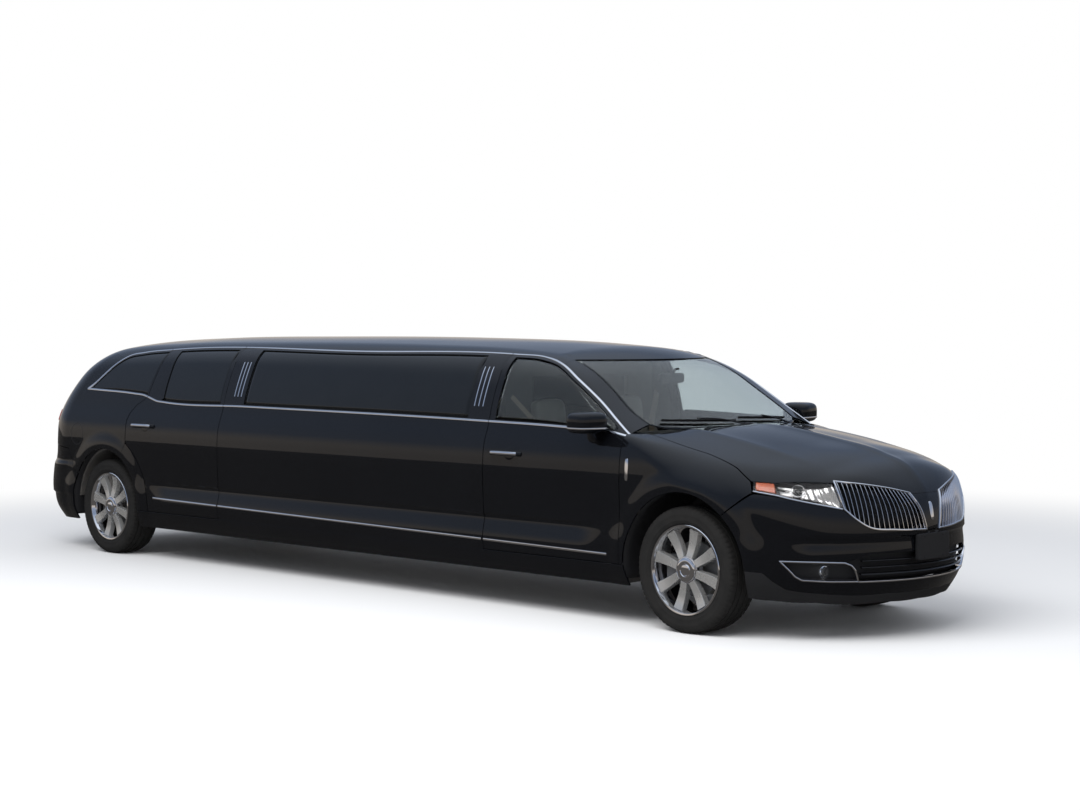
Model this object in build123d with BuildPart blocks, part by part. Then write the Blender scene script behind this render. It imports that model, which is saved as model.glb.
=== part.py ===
from build123d import *
from math import cos, radians, sin
import os

os.makedirs("parts", exist_ok=True)

# A stretch limousine. X points forward, Y to its left, Z up, in millimetres.
# The origin is on the ground, under the middle of the body's length.

# Driving dimensions of the whole car
WHEELBASE = 6043
FRONT_OVERHANG = 1085
REAR_OVERHANG = 1212
FRONT_AXLE_X = (WHEELBASE + FRONT_OVERHANG + REAR_OVERHANG) / 2 - FRONT_OVERHANG
REAR_AXLE_X = FRONT_AXLE_X - WHEELBASE
NOSE_X = FRONT_AXLE_X + FRONT_OVERHANG
TAIL_X = REAR_AXLE_X - REAR_OVERHANG
BELT_Z = 1165
PANEL_GAP = 10
WIDE = 1500

# Wall thicknesses: outer skin, whole door or wall, and the same above the belt
SKIN = 30
WALL = 100
UPPER_SKIN = 16
UPPER_WALL = 42
GLASS_SET_BACK = 8
GLASS = 5
LAYER_STEP = 16

# Wheels. Sizes across a wheel are measured from its middle plane, outwards
TYRE_R = 370
TYRE_HALF_WIDTH = 122.5
BEAD_R = 255
FLANGE_R = 266
RIM_HALF_WIDTH = 102
BARREL_R = 240
WHEEL_Y = 812
ARCH_R = 455
HUB_R = 75
HUB_FACE = (45, 92)
SPOKES = 8
SPOKE_FACE = (62, 96)
SPOKE_WIDTH = (50, 74)
DISC_R = 165
DISC_FACE = (-16, 8)
SPINDLE_R = 30
RUNNING_GAP = 6

# Steering: the pivot leans from the lower ball joint to the strut's top
BALL_JOINT = (715, 235)
STRUT_TOP = (590, 880)
STRUT_R = 28

# Body below the belt. Columns: height, half width, nose set back, tail set forward
LOWER_ROWS = [
    (235, 905, 88, 90),
    (330, 945, 38, 30),
    (470, 958, 13, 0),
    (620, 953, 8, 5),
    (760, 958, 28, 50),
    (900, 960, 78, 60),
    (1040, 946, 138, 75),
    (BELT_Z, 905, 198, 100),
]
FRONT_CORNER = (800, 50)
REAR_CORNER = (480, 62)

# Cabin above the belt. Columns: height, half width, windscreen ahead of the front
# axle, rear glass behind the rear axle, front corner radius, rear corner radius
UPPER_ROWS = [
    (1110, 919, -240, 1105, 152, 422),
    (1280, 876, -515, 977, 140, 400),
    (1440, 818, -765, 832, 130, 400),
    (1600, 744, -1015, 652, 120, 380),
    (1740, 668, -1205, 482, 110, 350),
]
UPPER_FRONT_TURN = 66
UPPER_REAR_TURN = 60

# Bonnet surface. Columns: distance ahead of the front axle, height on the
# centreline, drop at one metre from the centreline
HOOD_ROWS = [
    (-485, 1182, 30),
    (-85, 1168, 140),
    (365, 1106, 185),
    (715, 1034, 240),
    (915, 948, 300),
    (1025, 830, 400),
    (1165, 640, 480),
]

# Roof surface. Columns: x, height on the centreline, drop at one metre
ROOF_ROWS = [
    (REAR_AXLE_X - 1342, 1440, 190),
    (REAR_AXLE_X - 742, 1592, 190),
    (REAR_AXLE_X - 242, 1655, 150),
    (REAR_AXLE_X + 558, 1692, 130),
    (-1200, 1705, 120),
    (400, 1700, 120),
    (FRONT_AXLE_X - 1685, 1675, 120),
    (FRONT_AXLE_X - 1085, 1635, 130),
    (FRONT_AXLE_X - 185, 1560, 150),
]
ROOF_FILLET = 70

# Door and panel lines along the side
FRONT_DOOR_FRONT_X = FRONT_AXLE_X - 485
FRONT_DOOR_REAR_X = FRONT_AXLE_X - 1675
REAR_DOOR_FRONT_X = REAR_AXLE_X + 1503
REAR_DOOR_REAR_X = REAR_AXLE_X + 292
REAR_DOOR_ARCH_R = 590
DOOR_BOTTOM_Z = 370
DOOR_TOP_Z = 1612
WINDOW_TOP_Z = 1582
DOOR_HINGE_SET_BACK = 20
DOOR_HINGE_Y = 950
SILL_TOP_Z = DOOR_BOTTOM_Z - PANEL_GAP
BOTTOM_Z = LOWER_ROWS[0][0]

# Front plate bracket
PLATE_WIDTH = 305
PLATE_HEIGHT = 150
PLATE_Z = 525
PLATE_HOLE_SPACING = (178, 121)
PLATE_HOLE_R = 3.5
PLATE_HOLE_DEPTH = 15

# Floor and inside
FLOOR_Z = 365
REAR_FLOOR_Z = 620
COWL_Z = 1105
STEERING_X = FRONT_AXLE_X - 930
STEERING_Y = 370
STEERING_Z = 985

# Outlines in side view, as x from the front or rear axle, and z
FRONT_DOOR_TOP = [(-485, 1125), (-568, 1200), (-781, 1347), (-960, 1452), (-1167, 1545), (-1385, 1598)]
FRONT_WINDOW = [(-1590, 1192), (-650, 1186), (-812, 1305), (-990, 1410), (-1190, 1500), (-1400, 1558)]
REAR_DOOR_BACK = [(582, DOOR_TOP_Z), (512, 1270), (375, BELT_Z + 10)]
QUARTER_TOP = [
    (602, DOOR_TOP_Z), (222, 1592), (42, 1562), (-62, 1497), (-165, 1427), (-268, 1347), (-342, 1290)]
QUARTER_WINDOW = [
    (468, 1275), (-282, 1292), (-202, 1370), (-102, 1450), (8, 1512), (198, 1555), (528, 1572)]
FENDER_FRONT = [(835, 1200), (835, 895), (475, 895), (460, 850), (338, 748), (215, 600)]
REAR_BUMPER_TOP = [(-250, 560), (-437, 640), (-522, 810), (-1212, 850)]

# Outlines in end view, as distance from the middle, and z
LAMP = [(885, 925), (828, 918), (607, 905), (584, 755), (899, 850)]
GRILLE_TOP = [(607, 905), (429, 878), (146, 822)]
GRILLE_FOOT = [(584, 755), (528, 697), (471, 650), (56, 622)]
GRILLE = GRILLE_TOP + [(95, 737)] + GRILLE_FOOT[::-1]
OPENING = [
    (0, 503), (450, 503), (510, 480), (581, 455), (838, 465), (783, 380), (755, 359), (487, 347), (200, 344),
    (0, 344)]
FOG_PILLAR = [(540, 510), (548, 440), (520, 340), (496, 340), (520, 440), (505, 510)]
SCREEN = [(-690, 1130), (690, 1130), (690, 1186), (622, 1572), (-622, 1572), (-690, 1186)]
TAILGATE_SIDE = [(0, 1555), (300, 1545), (480, 1505), (590, 1430), (620, 1350), (620, 800), (0, 800)]
REAR_GLASS = [(-545, 1215), (545, 1215), (500, 1480), (-500, 1480)]

# Bonnet edge in plan, as x ahead of the front axle, and y
HOOD_SIDE = [
    (-255, 0), (-285, 300), (-345, 600), (-385, 775), (555, 775), (765, 650), (915, 500), (990, 300),
    (1020, 0)]

# Grille slats and the bars of the low opening stand in front of a back plate
RECESS = 20
SLAT_GAPS = 15
SLAT_SHARE = 0.30
GRILLE_RIM = 0.06
RECESS_FROM = 500
OPENING_BARS = (462, 424, 386)
OPENING_BAR = (980, 12)
FOG_LAMP = (659, 404)
FOG_LAMP_R = 36

# Outside mirror and door handles. A handle's row: x at its rear and front, z
MIRROR_CENTRE = (FRONT_AXLE_X - 700, 1025, 1205)
MIRROR_SIZE = (200, 190, 130)
MIRROR_ROUND = 42
MIRROR_STALK = [(915, 1060), (950, 1060), (1010, 1150), (1010, 1175), (960, 1175), (915, 1110)]
MIRROR_STALK_WIDTH = 70
HANDLES = {
    "front_door": (FRONT_AXLE_X - 1601, FRONT_AXLE_X - 1331, 985),
    "rear_door": (REAR_AXLE_X + 382, REAR_AXLE_X + 672, 1020),
}
HANDLE_Y = (940, 972, 984)
HANDLE_FOOT = 14
HANDLE_HEIGHT = 28

COWL_HALF_WIDTH = HOOD_SIDE[3][1] + PANEL_GAP


def end_corner(half_width, end_x, radius, turn, way):
    """Start, middle and end of the round corner between a side and an end."""
    a = radians(turn)
    end_radius = radius + (half_width - radius) / cos(a)
    centre_x = end_x - way * (end_radius - (end_radius - radius) * sin(a))
    centre_y = half_width - radius
    return [
        (centre_x + way * radius * sin(t), centre_y + radius * cos(t))
        for t in (0, a / 2, a)
    ]


def flip(points):
    return [(x, -y) for x, y in points]


def flip_y(points):
    """End view places on the car's other side."""
    return [(-y, z) for y, z in points]


def plan_loft(rows, inset):
    """Loft of plan outlines. Row: z, half width, nose, tail, front and rear corner."""
    with BuildPart() as body:
        for z, half_width, nose_x, tail_x, front, rear in rows:
            w = half_width - inset
            f = end_corner(w, nose_x - inset, front[0] - inset, front[1], 1)
            r = end_corner(w, tail_x + inset, rear[0] - inset, rear[1], -1)
            with BuildSketch(Plane.XY.offset(z)):
                with BuildLine():
                    Line(r[0], f[0])
                    ThreePointArc(*f)
                    ThreePointArc(f[2], (nose_x - inset, 0), flip(f)[2])
                    ThreePointArc(*flip(f)[::-1])
                    Line(flip(f)[0], flip(r)[0])
                    ThreePointArc(*flip(r))
                    ThreePointArc(flip(r)[2], (tail_x + inset, 0), r[2])
                    ThreePointArc(*r[::-1])
                make_face()
        loft()
    return body.part


def crown_cut(rows, lower_by):
    """Solid above a crowned surface. Row: x, height in the middle, drop at 1 m."""
    top = 2000
    side = 1000
    with BuildPart() as cut:
        for x, centre_z, drop in rows:
            z = centre_z - lower_by
            with BuildSketch(Plane.YZ.offset(x)):
                with BuildLine():
                    ThreePointArc((-side, z - drop), (0, z), (side, z - drop))
                    Polyline((side, z - drop), (side, top), (-side, top), (-side, z - drop))
                make_face()
        loft()
    return cut.part


def side_prism(points, near=-WIDE, far=WIDE):
    """Side view outline (x, z), run across the car from y near to y far."""
    with BuildPart() as prism:
        with BuildSketch(Plane.XZ.offset(-far)):
            Polygon(*points, align=None)
        extrude(amount=far - near)
    return prism.part


def end_prism(points, near, far):
    """End view outline (y, z), run along the car from x near to x far."""
    with BuildPart() as prism:
        with BuildSketch(Plane.YZ.offset(near)):
            Polygon(*points, align=None)
        extrude(amount=far - near)
    return prism.part


def plan_prism(points, near, far):
    """Plan outline (x, y), run up from z near to z far."""
    with BuildPart() as prism:
        with BuildSketch(Plane.XY.offset(near)):
            Polygon(*points, align=None)
        extrude(amount=far - near)
    return prism.part


def cylinder_across(x, z, radius, near=-WIDE, far=WIDE):
    """Cylinder along Y from y near to y far."""
    with BuildPart() as cylinder:
        with BuildSketch(Plane.XZ.offset(-far)):
            with Locations((x, z)):
                Circle(radius)
        extrude(amount=far - near)
    return cylinder.part


def block(x_range, y_range, z_range):
    (x0, x1), (y0, y1), (z0, z1) = x_range, y_range, z_range
    return plan_prism([(x0, y0), (x1, y0), (x1, y1), (x0, y1)], z0, z1)


def grow(points, by):
    """Outline moved outwards by a distance, or inwards when it is negative."""
    with BuildSketch(mode=Mode.PRIVATE) as sketch:
        Polygon(*points, align=None)
        offset(amount=by, kind=Kind.INTERSECTION)
    outline = sketch.sketch.faces()[0].outer_wire()
    return [(v.X, v.Y) for v in (e.position_at(0) for e in outline.order_edges())]


def both_sides(shape):
    return [shape, shape.mirror(Plane.XZ)]


def save(name, shapes):
    """One node from one or more solids."""
    with BuildPart() as piece:
        for shape in shapes:
            add(shape)
    piece.part.label = name
    export_step(piece.part, f"parts/{name}.step")
    return piece.part


# Surfaces of the body: outer, under the skin, and inside of the wall
lower_rows = [
    (z, w, NOSE_X - front, TAIL_X + rear, FRONT_CORNER, REAR_CORNER)
    for z, w, front, rear in LOWER_ROWS
]
upper_rows = [
    (z, w, FRONT_AXLE_X + screen, REAR_AXLE_X - glass,
     (front_r, UPPER_FRONT_TURN), (rear_r, UPPER_REAR_TURN))
    for z, w, screen, glass, front_r, rear_r in UPPER_ROWS
]
hood_rows = [(FRONT_AXLE_X + ahead, z, drop) for ahead, z, drop in HOOD_ROWS]


def open_ended(rows, below, above):
    """The same rows with the first and last carried on, so that a shell is open."""
    first = (rows[0][0] - below,) + rows[0][1:]
    last = (rows[-1][0] + above,) + rows[-1][1:]
    return [first] + rows[1:-1] + [last]


def cabin_side(inset):
    """Everything further in than a depth from the cabin's sides, up through the roof."""
    return plan_loft(open_ended(upper_rows, 60, 0), inset)


def lower_solid(inset, below=0, above=0):
    solid = plan_loft(open_ended(lower_rows, below, above), inset)
    return solid - crown_cut(hood_rows, inset)


def upper_solid(inset, below=0):
    solid = plan_loft(open_ended(upper_rows, below, 0), inset) - crown_cut(ROOF_ROWS, inset)
    edges = [e for e in solid.edges() if e.center().Z > BELT_Z + 185]
    return solid.fillet(ROOF_FILLET - inset, edges)


lower_outer = lower_solid(0)
lower_under_skin = lower_solid(SKIN, 60, 60)
lower_inside = lower_solid(WALL, 60, 60)
upper_outer = upper_solid(0)
upper_inside = upper_solid(UPPER_WALL, 60)
side_under_skin = cabin_side(UPPER_SKIN)
side_inside = cabin_side(UPPER_WALL)
side_clearance = cabin_side(UPPER_WALL + PANEL_GAP)
glass_shell = upper_solid(GLASS_SET_BACK) - upper_solid(GLASS_SET_BACK + GLASS, 60)

left_side = block((TAIL_X, NOSE_X), (0, WIDE), (0, 2 * WIDE))
above_belt = block((TAIL_X, NOSE_X), (-WIDE, WIDE), (BELT_Z, 2 * WIDE))
lower_skin = lower_outer - lower_under_skin
upper_wall = (upper_outer - upper_inside) & above_belt
left_skin = lower_skin & left_side
left_wall = (plan_loft(lower_rows, 0) & left_side) - plan_loft(open_ended(lower_rows, 60, 60), WALL)
left_upper = upper_outer & above_belt & left_side
left_upper_wall = left_upper - side_inside
left_upper_skin = left_upper - side_under_skin
left_upper_lining = left_upper_wall & side_under_skin
left_glass = glass_shell & left_side


def from_axle(axle_x, points):
    return [(axle_x + x, z) for x, z in points]


def mirrored_outline(half):
    return half + [(-y, z) for y, z in half[::-1] if y != 0]


# Side openings and their outlines
front_door_outline = [
    (FRONT_DOOR_FRONT_X, DOOR_BOTTOM_Z),
    *from_axle(FRONT_AXLE_X, FRONT_DOOR_TOP),
    (FRONT_DOOR_REAR_X, DOOR_TOP_Z),
    (FRONT_DOOR_REAR_X, DOOR_BOTTOM_Z),
]
rear_door_outline = [
    (REAR_DOOR_FRONT_X, DOOR_BOTTOM_Z),
    (REAR_DOOR_FRONT_X, DOOR_TOP_Z),
    *from_axle(REAR_AXLE_X, REAR_DOOR_BACK),
    (REAR_DOOR_REAR_X, BELT_Z - 95),
    (REAR_DOOR_REAR_X, DOOR_BOTTOM_Z),
]
front_window = side_prism(
    from_axle(FRONT_AXLE_X, FRONT_WINDOW) + [(FRONT_DOOR_REAR_X + 85, WINDOW_TOP_Z)])
stretch_window = side_prism([
    (FRONT_DOOR_REAR_X - 210, 1190), (FRONT_DOOR_REAR_X - 210, WINDOW_TOP_Z),
    (REAR_DOOR_FRONT_X + 240, WINDOW_TOP_Z), (REAR_DOOR_FRONT_X + 240, 1203)])
rear_window = side_prism([
    (REAR_DOOR_FRONT_X - 55, 1203), (REAR_DOOR_FRONT_X - 55, WINDOW_TOP_Z),
    (REAR_AXLE_X + 726, WINDOW_TOP_Z), (REAR_AXLE_X + 713, 1222)])
quarter_window = side_prism(from_axle(REAR_AXLE_X, QUARTER_WINDOW))
door_arch = cylinder_across(REAR_AXLE_X, TYRE_R, REAR_DOOR_ARCH_R)
door_arch_aperture = cylinder_across(REAR_AXLE_X, TYRE_R, REAR_DOOR_ARCH_R - PANEL_GAP)
front_aperture = side_prism(grow(front_door_outline, PANEL_GAP))
rear_aperture = side_prism(grow(rear_door_outline, PANEL_GAP)) - door_arch_aperture
tailgate_outline = mirrored_outline(TAILGATE_SIDE)
tailgate_x = (TAIL_X - PANEL_GAP, REAR_AXLE_X - 522)
tailgate_aperture = end_prism(grow(tailgate_outline, PANEL_GAP), *tailgate_x)
screen_opening = end_prism(SCREEN, FRONT_AXLE_X - 1400, FRONT_AXLE_X)


def wheel_arch(axle_x):
    """Round arch, carried straight down to below the sill."""
    below = block((axle_x - ARCH_R, axle_x + ARCH_R), (-WIDE, WIDE), (0, TYRE_R))
    return cylinder_across(axle_x, TYRE_R, ARCH_R) + below


front_arch = wheel_arch(FRONT_AXLE_X)
rear_arch = wheel_arch(REAR_AXLE_X)


def door(outline, window, arch=None):
    """Left door: lower wall, and a stepped frame around the window."""
    lower = left_wall & side_prism(outline)
    skin = left_upper_skin & side_prism(outline)
    lining = left_upper_lining & side_prism(grow(outline, -LAYER_STEP))
    whole = lower + skin + lining - window
    return whole - arch if arch else whole


def handle(x0, x1, z):
    """Pull handle that stands off the door on two feet."""
    skin_y, inner_y, outer_y = HANDLE_Y
    foot0, foot1 = x0 + HANDLE_FOOT, x1 - HANDLE_FOOT
    outline = [
        (x0, skin_y), (x0, inner_y), (foot0, outer_y), (foot1, outer_y), (x1, inner_y), (x1, skin_y),
        (foot1, skin_y), (foot1, inner_y), (foot0, inner_y), (foot0, skin_y)]
    return plan_prism(outline, z - HANDLE_HEIGHT / 2, z + HANDLE_HEIGHT / 2)


def outside_mirror():
    """Rounded mirror housing on a stalk that leans out of the door."""
    with BuildPart() as housing:
        with Locations(MIRROR_CENTRE):
            Box(*MIRROR_SIZE)
        fillet(housing.edges(), MIRROR_ROUND)
    stalk_x = MIRROR_CENTRE[0] + MIRROR_STALK_WIDTH / 2
    return housing.part + end_prism(MIRROR_STALK, stalk_x - MIRROR_STALK_WIDTH, stalk_x)


front_door = door(front_door_outline, front_window) + handle(*HANDLES["front_door"]) + outside_mirror()
rear_door = door(rear_door_outline, rear_window, door_arch) + handle(*HANDLES["rear_door"])
for name, shape in (("front_door", front_door), ("rear_door", rear_door)):
    left, right = both_sides(shape)
    save(f"{name}_left", [left])
    save(f"{name}_right", [right])
for name, window in (("front_door_glass", front_window), ("rear_door_glass", rear_window)):
    left, right = both_sides(left_glass & window)
    save(f"{name}_left", [left])
    save(f"{name}_right", [right])
save("side_windows", both_sides(left_glass & stretch_window) + both_sides(left_glass & quarter_window))
save("windscreen", [glass_shell & screen_opening])

# Fixed panels of the side
stretch_outline = [
    (FRONT_DOOR_REAR_X - PANEL_GAP, SILL_TOP_Z), (FRONT_DOOR_REAR_X - PANEL_GAP, DOOR_TOP_Z),
    (REAR_DOOR_FRONT_X + PANEL_GAP, DOOR_TOP_Z), (REAR_DOOR_FRONT_X + PANEL_GAP, SILL_TOP_Z)]
stretch_prism = side_prism(stretch_outline)
save("stretch_panels", both_sides((left_wall + left_upper_wall) & stretch_prism - stretch_window))

rear_bumper_prism = side_prism(
    from_axle(REAR_AXLE_X, REAR_BUMPER_TOP) + [(TAIL_X, 0), (REAR_AXLE_X - 250, 0)])
quarter_prism = side_prism(
    from_axle(REAR_AXLE_X, QUARTER_TOP)
    + [(TAIL_X, 1262), (TAIL_X, SILL_TOP_Z), (REAR_AXLE_X + 640, SILL_TOP_Z),
       (REAR_AXLE_X + 640, DOOR_TOP_Z)])
lamp_band = end_prism([(-WIDE, 1020), (WIDE, 1020), (WIDE, 1110), (-WIDE, 1110)], TAIL_X, REAR_AXLE_X - 890)
quarter = (
    (left_skin + left_upper_wall) & quarter_prism
    - rear_aperture - tailgate_aperture - rear_arch - rear_bumper_prism - quarter_window - lamp_band)
save("quarter_panels", both_sides(quarter))
save("rear_corner_lamps", both_sides(left_skin & quarter_prism & lamp_band - tailgate_aperture))
save("rear_bumper", [lower_skin & rear_bumper_prism - rear_arch - tailgate_aperture])

roof = (
    upper_wall - (stretch_prism - side_inside) - (quarter_prism - side_inside)
    - (front_aperture - side_clearance) - (rear_aperture - side_clearance)
    - tailgate_aperture - screen_opening)
save("roof", [roof])

sill_prism = side_prism([
    (FRONT_AXLE_X - ARCH_R, BOTTOM_Z - 20), (FRONT_AXLE_X - ARCH_R, SILL_TOP_Z),
    (REAR_AXLE_X + ARCH_R, SILL_TOP_Z), (REAR_AXLE_X + ARCH_R, BOTTOM_Z - 20)])
save("rocker_covers", both_sides(left_skin & sill_prism))

# Front end
hood_half = [(FRONT_AXLE_X + x, y) for x, y in HOOD_SIDE]
hood_outline = hood_half + [(x, -y) for x, y in hood_half[::-1] if y != 0]
hood_aperture = plan_prism(grow(hood_outline, PANEL_GAP), 700, 1300)
save("hood", [lower_skin & plan_prism(hood_outline, 700, 1300)])
lamp_prism = end_prism(LAMP, FRONT_AXLE_X + 415, NOSE_X)
grille_prism = end_prism(GRILLE, FRONT_AXLE_X + 415, NOSE_X)
fender_prism = side_prism(
    [(FRONT_DOOR_FRONT_X + PANEL_GAP, SILL_TOP_Z), (FRONT_DOOR_FRONT_X + PANEL_GAP, 1200)]
    + from_axle(FRONT_AXLE_X, FENDER_FRONT) + [(FRONT_AXLE_X, SILL_TOP_Z)])
cowl_zone = plan_prism([
    (FRONT_DOOR_FRONT_X, -WIDE), (FRONT_DOOR_FRONT_X, COWL_HALF_WIDTH),
    (FRONT_AXLE_X - 385, COWL_HALF_WIDTH), (FRONT_AXLE_X - 100, 0)], 1000, 1300)
front_left = left_skin & block((FRONT_DOOR_FRONT_X + PANEL_GAP, NOSE_X), (-WIDE, WIDE), (0, WIDE)) - cowl_zone
save("front_fenders", both_sides(front_left & fender_prism - front_arch - hood_aperture - lamp_prism))
bumper_half = (
    front_left - fender_prism - front_arch - hood_aperture - lamp_prism - grille_prism
    - block((0, FRONT_AXLE_X), (-WIDE, WIDE), (0, WIDE)))
bracket = end_prism([
    (-PLATE_WIDTH / 2, PLATE_Z - PLATE_HEIGHT / 2), (PLATE_WIDTH / 2, PLATE_Z - PLATE_HEIGHT / 2),
    (PLATE_WIDTH / 2, PLATE_Z + PLATE_HEIGHT / 2), (-PLATE_WIDTH / 2, PLATE_Z + PLATE_HEIGHT / 2)],
    NOSE_X - 32, NOSE_X)
with BuildPart() as plate_holes:
    with BuildSketch(Plane.YZ.offset(NOSE_X)):
        with Locations((0, PLATE_Z)):
            with GridLocations(*PLATE_HOLE_SPACING, 2, 2):
                Circle(PLATE_HOLE_R)
    extrude(amount=-PLATE_HOLE_DEPTH)
back_plate = lower_solid(RECESS)
with BuildPart() as opening:
    with BuildSketch(Plane.YZ.offset(FRONT_AXLE_X + RECESS_FROM)):
        Polygon(*mirrored_outline(OPENING), align=None)
        with Locations(*[(0, z) for z in OPENING_BARS]):
            Rectangle(*OPENING_BAR, mode=Mode.SUBTRACT)
        for pillar in (FOG_PILLAR, flip_y(FOG_PILLAR)):
            Polygon(*pillar, align=None, mode=Mode.SUBTRACT)
        with Locations(FOG_LAMP, (-FOG_LAMP[0], FOG_LAMP[1])):
            Circle(FOG_LAMP_R, mode=Mode.SUBTRACT)
    extrude(amount=FRONT_OVERHANG)
save("front_bumper", [
    bumper_half + bumper_half.mirror(Plane.XZ) - (opening.part - back_plate) + bracket - plate_holes.part])
save("head_lamps", both_sides(front_left & lamp_prism - hood_aperture))


def between(t, up):
    """Place on the grille, a share t of the way inwards and up from its foot."""
    foot, top = (Polyline(*line, mode=Mode.PRIVATE) @ t for line in (GRILLE_FOOT, GRILLE_TOP))
    place = foot + (top - foot) * up
    return place.X, place.Y


def slat_gap(k):
    """Outline of the gap beside slat k, counted inwards."""
    a, b = ((k + share) / SLAT_GAPS for share in (SLAT_SHARE / 2, 1 - SLAT_SHARE / 2))
    low, high = GRILLE_RIM, 1 - GRILLE_RIM
    return [between(a, low), between(b, low), between(b, high), between(a, high)]


gap_outlines = [slat_gap(k) for k in range(SLAT_GAPS)]
with BuildPart() as slat_gaps:
    with BuildSketch(Plane.YZ.offset(FRONT_AXLE_X + RECESS_FROM)):
        for outline in gap_outlines:
            Polygon(*outline, align=None)
    extrude(amount=FRONT_OVERHANG)
save("grille", both_sides((front_left & grille_prism - hood_aperture) - (slat_gaps.part - back_plate)))

# Tailgate
tailgate_prism = end_prism(tailgate_outline, *tailgate_x)
rear_glass = end_prism(REAR_GLASS, *tailgate_x)
tail_lower = (lower_outer - lower_inside) & tailgate_prism
save("tailgate", [tail_lower - (lower_skin & lamp_band) + (upper_wall & tailgate_prism) - rear_glass])
save("tail_lamp", [lower_skin & tailgate_prism & lamp_band])
save("tailgate_glass", [glass_shell & rear_glass])


def turned(profile, x, y):
    """Ring about a wheel's axle. Profile: distance out from its middle, radius."""
    with BuildPart() as ring:
        with BuildSketch(Plane.XY):
            Polygon(*[(out, r) for out, r in profile], align=None)
        revolve(axis=Axis.X)
    return Pos(x, y, TYRE_R) * Rot(0, 0, 90) * ring.part


# Wheels, made at the left and mirrored to the right
def tyre(x):
    w = TYRE_HALF_WIDTH
    half = [(0, TYRE_R), (w - 52, TYRE_R), (w - 22, TYRE_R - 4), (w - 5, TYRE_R - 26), (w, 322),
            (w - 5, 288), (RIM_HALF_WIDTH, FLANGE_R + 2), (RIM_HALF_WIDTH, BEAD_R)]
    return turned(half + [(-out, r) for out, r in half[:0:-1]], x, WHEEL_Y)


def rim(x):
    w = RIM_HALF_WIDTH
    lip = w + 8
    outer = [(w, BEAD_R), (w, FLANGE_R), (lip, FLANGE_R), (lip, BEAD_R - 8), (w - 12, BARREL_R)]
    barrel = turned(outer + [(-out, r) for out, r in outer[::-1]], x, WHEEL_Y)
    with BuildPart() as face:
        with BuildSketch(Plane.XY.offset(HUB_FACE[0])):
            Circle(HUB_R)
        extrude(amount=HUB_FACE[1] - HUB_FACE[0])
        with BuildSketch(Plane.XY.offset(SPOKE_FACE[0])):
            with PolarLocations(0, SPOKES):
                inner, outer_half = (width / 2 for width in SPOKE_WIDTH)
                Polygon(
                    (HUB_R - 20, -inner), (BARREL_R + 5, -outer_half),
                    (BARREL_R + 5, outer_half), (HUB_R - 20, inner), align=None)
        extrude(amount=SPOKE_FACE[1] - SPOKE_FACE[0])
        with BuildSketch(Plane.XY.offset(DISC_FACE[0])):
            Circle(DISC_R)
            Circle(HUB_R - 12, mode=Mode.SUBTRACT)
        extrude(amount=DISC_FACE[1] - DISC_FACE[0])
        with BuildSketch(Plane.XY.offset(DISC_FACE[1])):
            Circle(HUB_R)
            Circle(HUB_R - 12, mode=Mode.SUBTRACT)
        extrude(amount=HUB_FACE[0] - DISC_FACE[1])
    return barrel + Pos(x, WHEEL_Y, TYRE_R) * Rot(-90, 0, 0) * face.part


for end, x in (("front", FRONT_AXLE_X), ("rear", REAR_AXLE_X)):
    pairs = zip(both_sides(tyre(x)), both_sides(rim(x)))
    for side, (tyre_piece, rim_piece) in zip(("left", "right"), pairs):
        save(f"tyre_{end}_{side}", [tyre_piece])
        save(f"wheel_{end}_{side}", [rim_piece])


def round_bar(start, end, radius):
    """Straight round bar between two points."""
    start, end = Vector(*start), Vector(*end)
    with BuildPart() as bar:
        with BuildSketch(Plane(origin=start, z_dir=end - start)):
            Circle(radius)
        extrude(amount=(end - start).length)
    return bar.part


def carrier(x):
    """Left upright with its spindle and brake caliper."""
    inner_y = WHEEL_Y - 95
    with BuildPart() as upright:
        with BuildSketch(Plane.YZ.offset(x - 35)):
            Polygon(
                (inner_y - 22, BALL_JOINT[1] - 20), (inner_y + 18, BALL_JOINT[1] - 20),
                (inner_y + 30, TYRE_R - 60), (inner_y + 30, TYRE_R + 60),
                (inner_y - 20, TYRE_R + 160), (inner_y - 62, TYRE_R + 160), align=None)
        extrude(amount=70)
    spindle = cylinder_across(x, TYRE_R, SPINDLE_R, inner_y, WHEEL_Y + HUB_FACE[0] - RUNNING_GAP)
    inner_face = WHEEL_Y + DISC_FACE[0] - RUNNING_GAP
    outer_face = WHEEL_Y + DISC_FACE[1] + RUNNING_GAP
    caliper = (
        block((x - 205, x - 110), (inner_face - 24, inner_face), (TYRE_R - 75, TYRE_R + 75))
        + block((x - 205, x - DISC_R - 8), (inner_face, outer_face), (TYRE_R - 75, TYRE_R + 75))
        + block((x - 205, x - 110), (outer_face, outer_face + 18), (TYRE_R - 75, TYRE_R + 75))
        + block((x - 205, x), (inner_y, inner_face - 6), (TYRE_R - 30, TYRE_R + 30))
        - cylinder_across(x, TYRE_R, 100, inner_face - 30, WIDE))
    return upright.part + spindle + caliper


strut = round_bar(
    (FRONT_AXLE_X, *BALL_JOINT), (FRONT_AXLE_X, *STRUT_TOP), STRUT_R)
knuckle_left, knuckle_right = both_sides(carrier(FRONT_AXLE_X) + strut)
save("knuckle_left", [knuckle_left])
save("knuckle_right", [knuckle_right])

# Rear axle: carriers on a cross member, with the final drive in its middle
rear_half = carrier(REAR_AXLE_X) + block(
    (REAR_AXLE_X - 45, REAR_AXLE_X + 45), (0, WHEEL_Y - 95), (TYRE_R - 80, TYRE_R - 20))
final_drive = block((REAR_AXLE_X - 130, REAR_AXLE_X + 169), (-110, 110), (TYRE_R - 130, TYRE_R + 60))
save("rear_axle", [rear_half + rear_half.mirror(Plane.XZ) + final_drive])

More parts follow.
